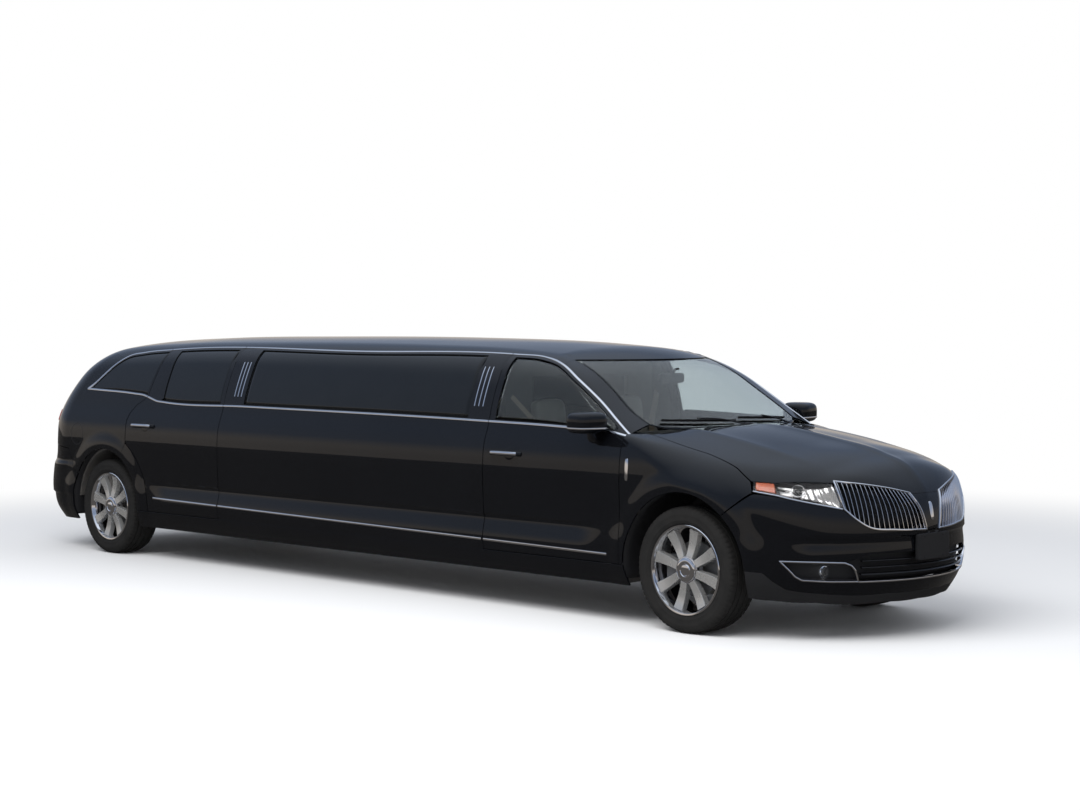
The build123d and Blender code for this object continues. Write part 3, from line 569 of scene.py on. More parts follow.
def on_surface(shell, start, half, power, lay, slot=0, nu=48, nv=17):
    """Rounded block laid on the body: lay turns its first and last coordinates into
    places of the surface, and its middle one is the distance out."""
    block = Shell()
    rounded_block(block, (0, 0, 0), half, power, 0, nu, nv)
    p = block.points[0]
    base = lay(p[:, (0, 2)] + np.asarray(start))
    shell.add(base + out_from(base) * p[:, 1:2], block.faces[0], slot)


def pad(shell, centre, half, lean=0.0, channels=5, slot=0, nu=64, nv=33):
    """Padded block: a squared-up ball with faces swollen in the middle by a product of
    two parabolas, sewn channels across its top, leant back by an angle in degrees."""
    half = np.asarray(half, float)
    c, s = math.cos(math.radians(lean)), math.sin(math.radians(lean))

    def shape(p):
        a = p / half
        swell = 1 + 0.09 * (1 - np.roll(a, -1, -1) ** 2) * (1 - np.roll(a, 1, -1) ** 2)
        from_seam = np.abs((a[..., 1] * channels / 2 + 0.5) % 1 - 0.5)
        on_top = (np.abs(a[..., 0]) < 0.8) * (a[..., 2] > 0.3)
        p = p * swell
        z = p[..., 2] - 0.006 * np.exp(-((from_seam / 0.08) ** 2)) * on_top
        return np.stack([c * p[..., 0] - s * z, p[..., 1], s * p[..., 0] + c * z], -1)

    rounded_block(shell, centre, half, 0.38, slot, nu, nv, shape)


# Materials

def surface_group(name, sockets, build):
    """A node group on Object coordinates with number inputs, a mask and a height."""
    group = bpy.data.node_groups.new(name, "ShaderNodeTree")
    for socket, default in sockets.items():
        entry = group.interface.new_socket(socket, in_out="INPUT", socket_type="NodeSocketFloat")
        entry.default_value = default
    for socket in ("Mask", "Height"):
        group.interface.new_socket(socket, in_out="OUTPUT", socket_type="NodeSocketFloat")
    build(group, group.nodes.new("NodeGroupInput"), group.nodes.new("NodeGroupOutput"))
    return group


def build_grain(group, start, end):
    """Fine noise for the height and slow noise for the mask."""
    where = group.nodes.new("ShaderNodeTexCoord")
    for scale, result, detail in (("Fine scale", "Height", 3.0), ("Slow scale", "Mask", 4.0)):
        noise = group.nodes.new("ShaderNodeTexNoise")
        noise.inputs["Detail"].default_value = detail
        group.links.new(where.outputs["Object"], noise.inputs["Vector"])
        group.links.new(start.outputs[scale], noise.inputs["Scale"])
        group.links.new(noise.outputs["Fac"], end.inputs[result])


def grained(name, colour, second=None, rough=0.4, vary=0.1, bump=0.0, fine=300.0, slow=6.0, **shader):
    """A material whose colour, roughness and bump vary by the grain group."""
    group = bpy.data.node_groups.get("grain") or surface_group(
        "grain", {"Fine scale": 300.0, "Slow scale": 6.0}, build_grain)
    material = bpy.data.materials.new(name)
    material.use_nodes = True
    tree = material.node_tree
    principled = tree.nodes["Principled BSDF"]
    grain = tree.nodes.new("ShaderNodeGroup")
    grain.node_tree = group
    grain.inputs["Fine scale"].default_value = fine
    grain.inputs["Slow scale"].default_value = slow
    blend = tree.nodes.new("ShaderNodeMix")
    blend.data_type = "RGBA"
    blend.inputs[6].default_value = (*colour, 1)
    blend.inputs[7].default_value = (*(second or tuple(min(1.0, 1.2 * c + 0.001) for c in colour)), 1)
    tree.links.new(grain.outputs["Mask"], blend.inputs[0])
    tree.links.new(blend.outputs[2], principled.inputs["Base Color"])
    if vary:
        rougher = tree.nodes.new("ShaderNodeMapRange")
        rougher.inputs["To Min"].default_value = rough - vary / 2
        rougher.inputs["To Max"].default_value = rough + vary / 2
        tree.links.new(grain.outputs["Mask"], rougher.inputs["Value"])
        tree.links.new(rougher.outputs["Result"], principled.inputs["Roughness"])
    else:
        principled.inputs["Roughness"].default_value = rough
    if bump:
        relief = tree.nodes.new("ShaderNodeBump")
        relief.inputs["Strength"].default_value = bump
        relief.inputs["Distance"].default_value = 0.001
        tree.links.new(grain.outputs["Height"], relief.inputs["Height"])
        tree.links.new(relief.outputs["Normal"], principled.inputs["Normal"])
    for socket, value in shader.items():
        principled.inputs[socket.replace("_", " ")].default_value = value
    return material


def make_materials(look):
    """Every material by name, each made of its colour and values."""
    coat = {"Coat_Weight": 1.0, "Coat_Roughness": 0.02, "Coat_IOR": 1.42}
    metal = {"Metallic": 1.0}
    clear = {"Transmission_Weight": 1.0, "IOR": 1.45}
    dim_coat = {"Specular_IOR_Level": 0.02, **coat}
    looks = {
        "paint": dict(
            colour=look.paint, rough=0.30, vary=0.06, bump=0.01, fine=900.0, slow=1.5, **dim_coat),
        "gloss": dict(
            colour=(0.003, 0.003, 0.0035), rough=0.2, vary=0.04, bump=0.01, fine=500.0, **dim_coat),
        "plastic": dict(
            colour=(0.011, 0.011, 0.012), rough=0.5, bump=0.2, fine=1400.0, Specular_IOR_Level=0.25),
        "chrome": dict(colour=(0.80, 0.80, 0.82), rough=0.06, vary=0.04, bump=0.01, **metal),
        "glass": dict(colour=(0.60, 0.66, 0.67), second=(0.63, 0.69, 0.70), rough=0.0, vary=0.0, **clear),
        # Tinted glass of the rear door, side and tailgate windows. On the head lamp projectors this
        # near-black is painted shade of the lamp's inside.
        "dark_glass": dict(
            colour=(0.004, 0.0045, 0.005), rough=0.1, vary=0.01, Specular_IOR_Level=0.05, **coat),
        "lens": dict(colour=(0.93, 0.94, 0.95), rough=0.0, vary=0.0, Transmission_Weight=1.0, IOR=1.2),
        "reflector": dict(
            colour=(0.24, 0.24, 0.25), second=(0.34, 0.33, 0.32), rough=0.2, vary=0.06, slow=25.0, **metal),
        "amber": dict(
            colour=(0.24, 0.036, 0.005), second=(0.36, 0.062, 0.009), rough=0.25, vary=0.05, bump=0.4,
            fine=160.0, slow=40.0),
        "dark_red": dict(colour=(0.10, 0.004, 0.005), rough=0.15, vary=0.05, bump=0.4, fine=120.0, **coat),
        "red": dict(
            colour=(0.20, 0.005, 0.007), second=(0.26, 0.007, 0.009), rough=0.10, vary=0.02, bump=0.15,
            fine=90.0, **coat),
        "mirror": dict(colour=(0.62, 0.63, 0.65), rough=0.12, vary=0.05, **metal),
        "tyre": dict(
            colour=(0.010, 0.010, 0.010), second=(0.020, 0.019, 0.018), rough=0.75, bump=0.5, fine=700.0,
            slow=12.0, Specular_IOR_Level=0.12),
        "alloy": dict(
            colour=(0.54, 0.54, 0.53), second=(0.64, 0.63, 0.61), rough=0.27, bump=0.05, fine=900.0,
            Metallic=0.8),
        "steel": dict(colour=(0.05, 0.05, 0.05), second=(0.09, 0.08, 0.07), rough=0.6, bump=0.4, slow=20.0),
        "cast": dict(colour=(0.25, 0.25, 0.25), rough=0.5, bump=0.6, fine=250.0, Metallic=0.8),
        "pipe": dict(colour=(0.30, 0.29, 0.28), second=(0.42, 0.38, 0.33), rough=0.42, bump=0.1, **metal),
        "leather": dict(
            colour=(0.10, 0.092, 0.080), second=(0.13, 0.12, 0.105), rough=0.45, bump=0.2, fine=900.0),
        "belt": dict(colour=(0.16, 0.13, 0.10), rough=0.8, bump=0.6, fine=2000.0),
        "board": dict(colour=(0.03, 0.03, 0.031), rough=0.6, bump=0.15, fine=1200.0),
        "lining": dict(colour=(0.05, 0.048, 0.045), rough=0.9, bump=0.2, fine=1500.0),
    }
    return {name: grained(name, **values) for name, values in looks.items()}


def floor_material(colour):
    """Pale floor that keeps shadows, fades to white far off, and is dark in gloss."""
    material = grained("ground", colour, tuple(colour), rough=0.7)
    tree = material.node_tree
    nodes = tree.nodes
    path, where = nodes.new("ShaderNodeLightPath"), nodes.new("ShaderNodeTexCoord")
    camera, glossy, through = (path.outputs[f"Is {ray} Ray"] for ray in ("Camera", "Glossy", "Transmission"))
    away = nodes.new("ShaderNodeVectorMath")
    away.operation = "LENGTH"
    far = nodes.new("ShaderNodeMapRange")
    far.inputs["From Min"].default_value, far.inputs["From Max"].default_value = 5.0, 9.5
    far.interpolation_type = "SMOOTHSTEP"
    direct, seen, bounced = (nodes.new("ShaderNodeMath") for _ in range(3))
    direct.operation, seen.operation, bounced.operation = "MAXIMUM", "MULTIPLY", "SUBTRACT"
    bounced.use_clamp = True
    white, dark = nodes.new("ShaderNodeEmission"), nodes.new("ShaderNodeEmission")
    dark.inputs["Color"].default_value = (0.085, 0.08, 0.076, 1)
    fade, gloss = nodes.new("ShaderNodeMixShader"), nodes.new("ShaderNodeMixShader")
    for source, target in (
            (where.outputs["Object"], away.inputs[0]), (away.outputs["Value"], far.inputs["Value"]),
            (camera, direct.inputs[0]), (through, direct.inputs[1]), (far.outputs["Result"], seen.inputs[0]),
            (direct.outputs[0], seen.inputs[1]), (glossy, bounced.inputs[0]), (through, bounced.inputs[1]),
            (seen.outputs[0], fade.inputs[0]), (nodes["Principled BSDF"].outputs[0], fade.inputs[1]),
            (white.outputs[0], fade.inputs[2]), (bounced.outputs[0], gloss.inputs[0]),
            (fade.outputs[0], gloss.inputs[1]), (dark.outputs[0], gloss.inputs[2]),
            (gloss.outputs[0], nodes["Material Output"].inputs["Surface"])):
        tree.links.new(source, target)
    return material


# Which material each solid left showing takes
CAD_MATERIALS = {
    "floor": "steel", "bulkhead": "plastic", "engine": "cast", "front_subframe": "steel",
    "rear_axle": "steel", "drive_shaft": "steel", "exhaust": "pipe", "fuel_tank": "plastic",
    "steering_wheel": "board", "partition": "lining", "knuckle_left": "cast", "knuckle_right": "cast",
}
MATERIALS = {}


def place(piece, body, slot, *replaced):
    """Rides a finished piece on its body and hides the solids it stands in for."""
    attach(piece, body)
    if replaced:
        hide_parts(*replaced)


def put(shell, name, materials, body, slot, *replaced, **form):
    """Makes a shell's piece with the materials named, as a solid or in the form given,
    and places it."""
    piece = shell.make(name, [MATERIALS[material] for material in materials.split()], **(form or SOLID))
    place(piece, body, slot, *replaced)
    return piece


def panel_form(look, inside=1):
    """How an outer panel is made. Its inner face takes the material numbered inside."""
    return {"bevel": 0.002, "thick": look.panel, "inside": inside}


def both_sides(*shells):
    """Name of each side of the car, with the shells as they are on it."""
    yield "left", shells
    yield "right", [shell.mirrored(keep=False) for shell in shells]


def put_pair(body, *parts):
    """Places solids of the left side, each a shell, name, material and slot, and their
    mirror images on the right. The slot is not used."""
    for side, shells in both_sides(*(part[0] for part in parts)):
        for shell, (_, name, material, slot) in zip(shells, parts):
            put(shell, f"{name}_{side}", material, f"{body}_{side}", slot)


class LimousineLook(bpy.types.PropertyGroup):
    """What a user of the add-on would change."""

    paint: FloatVectorProperty(
        name="Paint", description="Colour of the body paint", subtype="COLOR",
        default=(0.0022, 0.0025, 0.0034), min=0, max=1)
    backdrop: FloatVectorProperty(
        name="Backdrop", description="Colour of the floor", subtype="COLOR", default=(0.80, 0.80, 0.80),
        min=0, max=1)
    panel: FloatProperty(
        name="Panel thickness", description="Thickness of the outer panels", subtype="DISTANCE",
        unit="LENGTH", default=0.012, min=0.004, max=0.03)
    key_light: FloatProperty(
        name="Key light", description="Power of the large soft light", subtype="POWER", unit="POWER",
        default=900.0, min=0)


def side_panel(foot, head, nu, nv, rear=None):
    """Shell of a panel of the lower side. Its front seam is straight, and its rear seam
    too unless a line is given for it."""
    rear = [foot[0], head[0]] if rear is None else rear
    lines = zip((foot, head, rear, [foot[-1], head[-1]]), (nu, nu, nv, nv))
    lines = [side_line(spread(line, n)) for line, n in lines]
    return Shell().skin(patch(*lines, nu, nv, along=SIDEWAYS))


def window_lines(foot_rear, head_rear, front, inset, head_front=None):
    """Edges of an opening between the belt and cant lines: foot, front, head, rear."""
    foot = part_line(BELT, foot_rear, front, inset)
    head = part_line(CANT, front if head_front is None else head_front, head_rear, -inset)
    return [foot, np.array([foot[-1], head[0]]), head, np.array([head[-1], foot[0]])]


def window_frame(shell, outer, inner):
    """Frame between an opening's outline and its glass."""
    shell.skin(side_line(ring(outer, inner, (60, 4, 70, 14), 6), True), True, closed_u=True)


def window_glass(shell, lines, nu, nv):
    """Pane inside an opening's four edges, a little below the frame."""
    foot, front, head, rear = (side_line(spread(line, n), True) for line, n in zip(lines, (nu, nv, nu, nv)))
    shell.skin(patch(foot, head[::-1], rear[::-1], front, nu, nv, True, SIDEWAYS), True, lift=-0.004)


# Openings of the left side: outline of the frame and of the glass
WINDOWS = {
    "door_front": (window_lines(DOOR_REAR + SEAM, DOOR_REAR + SEAM, DOOR_FRONT - SEAM, 0.0),
                   window_lines(1.462, 1.462, 2.520, 0.015)),
    "stretch": (window_lines(REAR_DOOR_FRONT + SEAM, REAR_DOOR_FRONT + SEAM, DOOR_REAR - SEAM, 0.0),
                window_lines(-1.215, -1.215, 1.205, 0.015)),
    "door_rear": (window_lines(*DOOR_BACK, REAR_DOOR_FRONT - SEAM, 0.0),
                  window_lines(-2.240, -2.240, -1.500, 0.015)),
}
QUARTER_TIP = -3.312
# Rim of the tail opening round its upper corner, as (y, z) in end view
GATE_RIM = [(0.622, 1.290), (0.620, 1.350), (0.592, 1.430), (0.485, 1.508), (0.300, 1.546), (0.000, 1.556)]


def quarter_window(inset, shift):
    """Quarter window: a leaning front edge, and both bright lines to a point."""
    tip = QUARTER_TIP + 4.5 * inset
    return window_lines(tip, tip, QUARTER_FRONT[0] - shift, inset, QUARTER_FRONT[1] - shift)


def rear_door_back(shift=0.0):
    """Rear seam of the rear door, upwards: concentric with the arch, then upright."""
    curve = arch(REAR_AXLE, 0, 60, 0.590, 20)
    line = np.concatenate([curve, [(-2.664, 1.060), (-2.640, 1.120), (-2.583, 1.175), (-2.450, 1.243)]])
    return line - (shift, 0)


def front_door_shell():
    """Lower panel of the left front door."""
    x0, x1 = DOOR_REAR + SEAM, DOOR_FRONT - SEAM
    return side_panel([(x0, DOOR_FOOT), (x1, DOOR_FOOT)], part_line(BELT, x0, x1), 60, 84)


def rear_door_shell():
    """Lower panel of the left rear door, whose rear seam goes round the arch."""
    x1 = REAR_DOOR_FRONT - SEAM
    foot = [(-2.366, DOOR_FOOT), (x1, DOOR_FOOT)]
    return side_panel(foot, part_line(BELT, DOOR_BACK[0], x1), 60, 84, join(foot[:1], rear_door_back()))


class PieceOperator:
    """Shared by the operators: each builds its pieces, and fails loudly."""

    bl_options = {"REGISTER", "UNDO"}

    def execute(self, context):
        self.build(context.scene.limousine_look)
        return {"FINISHED"}


class LIMO_OT_doors(PieceOperator, bpy.types.Operator):
    """Outer panels, window frames and panes of the four doors"""

    bl_idname = "limousine.doors"
    bl_label = "Doors"

    def build(self, look):
        for end, lower, tint in (
                ("front", front_door_shell(), "glass"), ("rear", rear_door_shell(), "dark_glass")):
            outline, opening = WINDOWS[f"door_{end}"]
            surround, pane = Shell(), Shell()
            window_frame(surround, outline, opening)
            window_glass(pane, opening, 40, 18)
            for side, (panel, border, glass) in both_sides(lower, surround, pane):
                body = f"door_{end}_{side}"
                put(panel, f"{body}_panel", "paint lining", body, "paint", f"{end}_door_{side}",
                    **panel_form(look))
                put(border, f"{body}_frame", "gloss lining", body, "black_plastic", **FRAME)
                put(glass, f"{body}_pane", tint, body, "glass", f"{end}_door_glass_{side}", **PANE)


class LIMO_OT_sides(PieceOperator, bpy.types.Operator):
    """Stretched middle, rear quarters, sill covers and their windows"""

    bl_idname = "limousine.sides"
    bl_label = "Fixed sides"

    def build(self, look):
        x0, x1 = REAR_DOOR_FRONT + SEAM, DOOR_REAR - SEAM
        middle = side_panel([(x0, SILL_Z), (x1, SILL_Z)], part_line(BELT, x0, x1), 70, 84)
        put(middle.mirrored(), "stretch_skin", "paint lining", "body", "paint", "stretch_panels",
            **panel_form(look))

        x0, x1 = REAR_AXLE + ARCH_R, FRONT_AXLE - ARCH_R
        foot = side_line(spread([(x0 - 0.020, 0.240), (x1 + 0.020, 0.240)], 90))
        head = side_line(spread([(x0, 0.365), (x1, 0.365)], 90))
        sill = Shell().skin(strip_between(foot, head, 90, 10))
        put(sill.mirrored(), "sills", "paint", "body", "paint", "rocker_covers", **panel_form(look, 0))

        surround, pane = Shell(), Shell()
        for outer, inner in (
                WINDOWS["stretch"], (quarter_window(0.0, 0.0), quarter_window(0.014, 0.012))):
            window_frame(surround, outer, inner)
            window_glass(pane, inner, 60, 18)
        put(surround.mirrored(), "side_frames", "gloss lining", "body", "black_plastic", **FRAME)
        put(pane.mirrored(), "side_panes", "dark_glass", "body", "dark_glass", "side_windows", **PANE)
        self.quarters(look)

    @staticmethod
    def quarters(look):
        """Rear quarters, round the wheel arch and the corner to the tail opening."""
        shell = Shell()
        band = [side_line(arch(REAR_AXLE, 0, 60, r, 30)) for r in np.linspace(ARCH_R, 0.584, 10)]
        shell.skin(np.stack(band, 1))
        seam = rear_door_back(0.006)[19:]
        front = side_line(spread(join(arch(REAR_AXLE, 60, 60, count=1), seam), 46))
        foot = join(arch(REAR_AXLE, 60, REAR_ARCH_SEAM, count=40), [(-3.395, 0.640), (-3.480, 0.812)])
        foot = side_line(foot)
        foot = join(foot, bridge(foot[-1], tail_line([(OPENING_HALF, 0.846)])[0], 30, LEVEL))
        belt = side_line(part_line(BELT, QUARTER_FRONT[0], LINES_MEET))
        around = bridge(belt[-1], tail_line([(OPENING_HALF, 1.290)])[0], 30, LEVEL)
        gate = tail_line(spread([(OPENING_HALF, 0.846), (OPENING_HALF, 1.290)], 46))
        shell.skin(patch(foot, join(belt, around), front, gate, 90, 46, True), True)
        cant = side_line(part_line(CANT, LINES_MEET, ROOF_REAR_X), True)
        gate_upper = tail_line(spread(GATE_RIM[:4], 24))
        top = bridge(cant[-1], gate_upper[-1], 30)
        shell.skin(patch(around, top, cant, gate_upper, 30, 24, True), True)
        put(shell.mirrored(), "quarters", "paint lining", "body", "paint", "quarter_panels",
            **panel_form(look))


class LIMO_OT_front(PieceOperator, bpy.types.Operator):
    """Front wings, bonnet, bumper and apron"""

    bl_idname = "limousine.front"
    bl_label = "Front end"

    def build(self, look):
        for step in (self.wings, self.bonnet, self.bumper):
            step(panel_form(look))

    @staticmethod
    def wings(panel):
        """Front wings, from the doors to the lamps."""
        wing_x = DOOR_FRONT + SEAM
        head = bonnet_line(spread([(wing_x, 0.800), (2.700, 0.781), (3.150, 0.791), (3.400, 0.830)], 50))
        head = join(head, settle(spread([head[-1], (3.541, 0.896, 0.944)], 12)))
        foot = side_line(join([(wing_x, SILL_Z)], arch(FRONT_AXLE, 180, FRONT_ARCH_SEAM, count=60)))
        back = join(
            side_line(spread([(wing_x, SILL_Z), (wing_x, 1.060)], 30)),
            settle(spread([(wing_x, 0.935, 1.060), (wing_x, 0.915, 1.130), (wing_x, 0.800, 1.150)], 12),
                   along=(0, 1, 1)))
        lamp_end = settle(spread([foot[-1], (3.562, 0.900, 0.852), (3.541, 0.896, 0.944)], 30))
        wing = Shell().skin(patch(foot, head, back, lamp_end, 60, 46))
        put(wing.mirrored(), "front_wings", "paint steel", "body", "paint", "front_fenders", **panel)

    @staticmethod
    def bonnet(panel):
        """Bonnet, from the cowl to the lip over the lamps and grille."""
        left = bonnet_line(spread([(2.700, 0.775), (3.150, 0.785), (3.400, 0.824)], 50))
        left = join(left, settle(spread([left[-1], (3.546, 0.890, 0.946)], 12)))
        cowl = across([(2.700, 0.775), (2.740, 0.600), (2.800, 0.300), (2.830, 0)], (1, -1))
        cowl = bonnet_line(spread(cowl, 81))
        lip = np.array(LAMP_TOP + GRILLE_TOP + [(4.124, 0.000, 0.826)]) + (-0.003, 0, 0.004)
        lip = settle(spread(across(lip), 81))
        bonnet = Shell().skin(wide_patch(cowl, lip, left, 81, 60))
        put(bonnet, "bonnet", "paint steel", "hood", "paint", "hood", **panel)

    @staticmethod
    def bumper(panel):
        """Bumper above, below and between the openings, and the apron under it."""
        shell = Shell()
        side = side_line(arch(FRONT_AXLE, FRONT_ARCH_FOG, FRONT_ARCH_SEAM - 0.6, count=16))
        bright = np.array([(3.572, 0.899, 0.847)] + LAMP_FOOT[1:] + GRILLE_FOOT[1:]) - (0, 0, 0.004)
        head = join(side[-1:], bright, [(4.170, 0, 0.616)])
        foot = join(side[:1], nose_line(OPENING_TOP))
        shell.skin(wide_patch(across(foot), across(head), side, 141, 30))
        low_side = side_line(arch(FRONT_AXLE, FRONT_ARCH_VALANCE, FRONT_ARCH_FOG, count=8))
        under = join(side[:1], nose_line(OPENING_FOOT))
        valance = join(
            low_side[:1], side_line([(3.633, 0.397), (3.677, 0.347), (3.731, 0.301)]),
            nose_line([(0.645, 0.278), (0.283, 0.268), (0.000, 0.268)]))
        shell.skin(wide_patch(across(valance), across(under), low_side, 141, 14))
        divider = nose_line(spread([(0.056, 0.622), (0.091, 0.737), (0.140, 0.824)], 14))
        bottom, top = (nose_line(spread([(y, z), (-y, z)], 15)) for y, z in ((0.056, 0.622), (0.140, 0.824)))
        shell.skin(wide_patch(bottom, top, divider, 15, 14))
        put(shell, "front_bumper_skin", "paint plastic", "body", "paint", "front_bumper", **panel)

        ends = side_line(arch(FRONT_AXLE, -16, FRONT_ARCH_VALANCE, count=8))
        lowest = join(
            ends[:1], side_line([(3.640, 0.232)]), nose_line([(0.645, 0.222), (0.283, 0.215), (0, 0.212)]))
        apron = wide_patch(across(lowest), across(valance) - (0.001, 0, 0.004), ends, 141, 10)
        put(Shell().skin(apron), "front_apron", "plastic", "body", "black_plastic", **COVER)


class LIMO_OT_opening(PieceOperator, bpy.types.Operator):
    """Low grille, fog lamps, their bright edges and the plate bracket"""

    bl_idname = "limousine.opening"
    bl_label = "Low grille and fog lamps"

    def build(self, look):
        high = nose_line(both_halves([(0.850, 0.475), (0.581, 0.475), (0.450, 0.522), (0, 0.522)], 81))
        low = nose_line(both_halves([(0.850, 0.455), (0.770, 0.345), (0.487, 0.332), (0, 0.330)], 81))
        face = wide_patch(low, high, np.stack([low[0], high[0]]), 81, 8, along=LEVEL)
        put(Shell().skin(face, lift=-0.040), "opening_back", "plastic", "body", "black_plastic", **BACK)
        bars, bright, lamps, bracket = (Shell() for _ in range(4))
        for z in (0.462, 0.424, 0.386):
            path = nose_line(both_halves([(0.490, z), (0, z)], 41))
            out = out_from(path)
            rod(bars, path - out * 0.016, oval(0.012, 0.030), out)
        put(bars, "opening_bars", "gloss", "body", "black_plastic")
        for side in (1, -1):
            loop = nose_line(spread(FOG_BEZEL + FOG_BEZEL[:1], 90)[:-1]) * (1, side, 1)
            bead(bright, loop, half_round(0.011, 0.006, 0.03), closed_path=True)
            lamp = nose_line([(0.659, 0.404)])[0] * (1, side, 1)
            rounded_block(lamps, lamp - (0.020, 0, 0), (0.020, 0.036, 0.036), 1.0)
        path = nose_line(both_halves([(0.497, 0.345), (0.200, 0.343), (0, 0.343)], 61))
        bead(bright, path, half_round(0.011, 0.006, 0.01))
        put(bright, "opening_edges", "chrome", "body", "chrome")
        put(lamps, "fog_lamps", "lens", "body", "lamp_clear")
        middle = 0.525
        rounded_block(bracket, (4.160, 0, middle), (0.012, 0.1525, 0.075), 0.12, nu=64, nv=33)
        for y, z in grid_of((-0.089, 0.089), (-0.0605, 0.0605)).reshape(-1, 2):
            rounded_block(bracket, (4.172, y, middle + z), (0.003, 0.006, 0.006), 0.8, nu=16, nv=9)
        put(bracket, "plate_bracket", "plastic", "body", "black_plastic")


class LIMO_OT_roof(PieceOperator, bpy.types.Operator):
    """Roof, windscreen, screen pillars and cowl"""

    bl_idname = "limousine.roof"
    bl_label = "Roof and windscreen"

    def build(self, look):
        screen_side = screen_line(spread(
            [(0.690, 1.190), (0.700, 1.240), (0.665, 1.400), (0.634, 1.535), (0.624, 1.572)], 30, True))
        header = screen_line(both_halves([(0.624, 1.572), (0.35, 1.571), (0.0, 1.570)], 61))
        base = screen_line(both_halves(
            [(0.690, 1.190), (0.62, 1.168), (0.51, 1.161), (0.35, 1.160), (0, 1.160)], 61, True))
        shell = Shell()
        cant = side_line(spread(part_line(CANT, ROOF_REAR_X, 1.918), 120), True)
        front = join(cant[-1:], header, cant[-1:] * FLIP)
        gate = tail_line(spread(GATE_RIM[3:], 14))
        rear = across(join(bridge(cant[0], gate[0], 16), gate))
        shell.skin(patch(cant, cant * FLIP, rear, front, 120, 61, True), True)
        foot = side_line(spread(part_line(CANT, 2.604, 1.918), 30), True)
        low, high = (bridge(foot[k], screen_side[k], 12) for k in (0, -1))
        pillar = patch(low, high, foot, screen_side + (0.0, 0.004, 0), 12, 30, True)
        for side in (1, -1):
            shell.skin(pillar * (1, side, 1), True)
        put(shell, "roof_skin", "paint lining", "body", "paint", "roof", **panel_form(look))

        pane = Shell().skin(wide_patch(base, header, screen_side, 61, 30, True), True, lift=-0.003)
        put(pane, "windscreen_pane", "glass", "body", "glass", "windscreen", thick=0.005)

        half = 0.79
        t = np.linspace(0, 1, 8)[:, None]
        y = np.linspace(-half, half, 61)[None, :]
        behind, ahead = 2.690 - 0.24 * (y / half) ** 2, 2.860 - 0.14 * (y / half) ** 2
        x, y = np.broadcast_arrays(behind + t * (ahead - behind), y)
        top = np.stack([x, y, crown(x, np.abs(y), BONNET_TOP) - 0.018 - 0.010 * np.sin(math.pi * t)], -1)
        put(Shell().skin(top, out=UPRIGHT), "cowl", "plastic", "body", "black_plastic", **COVER)


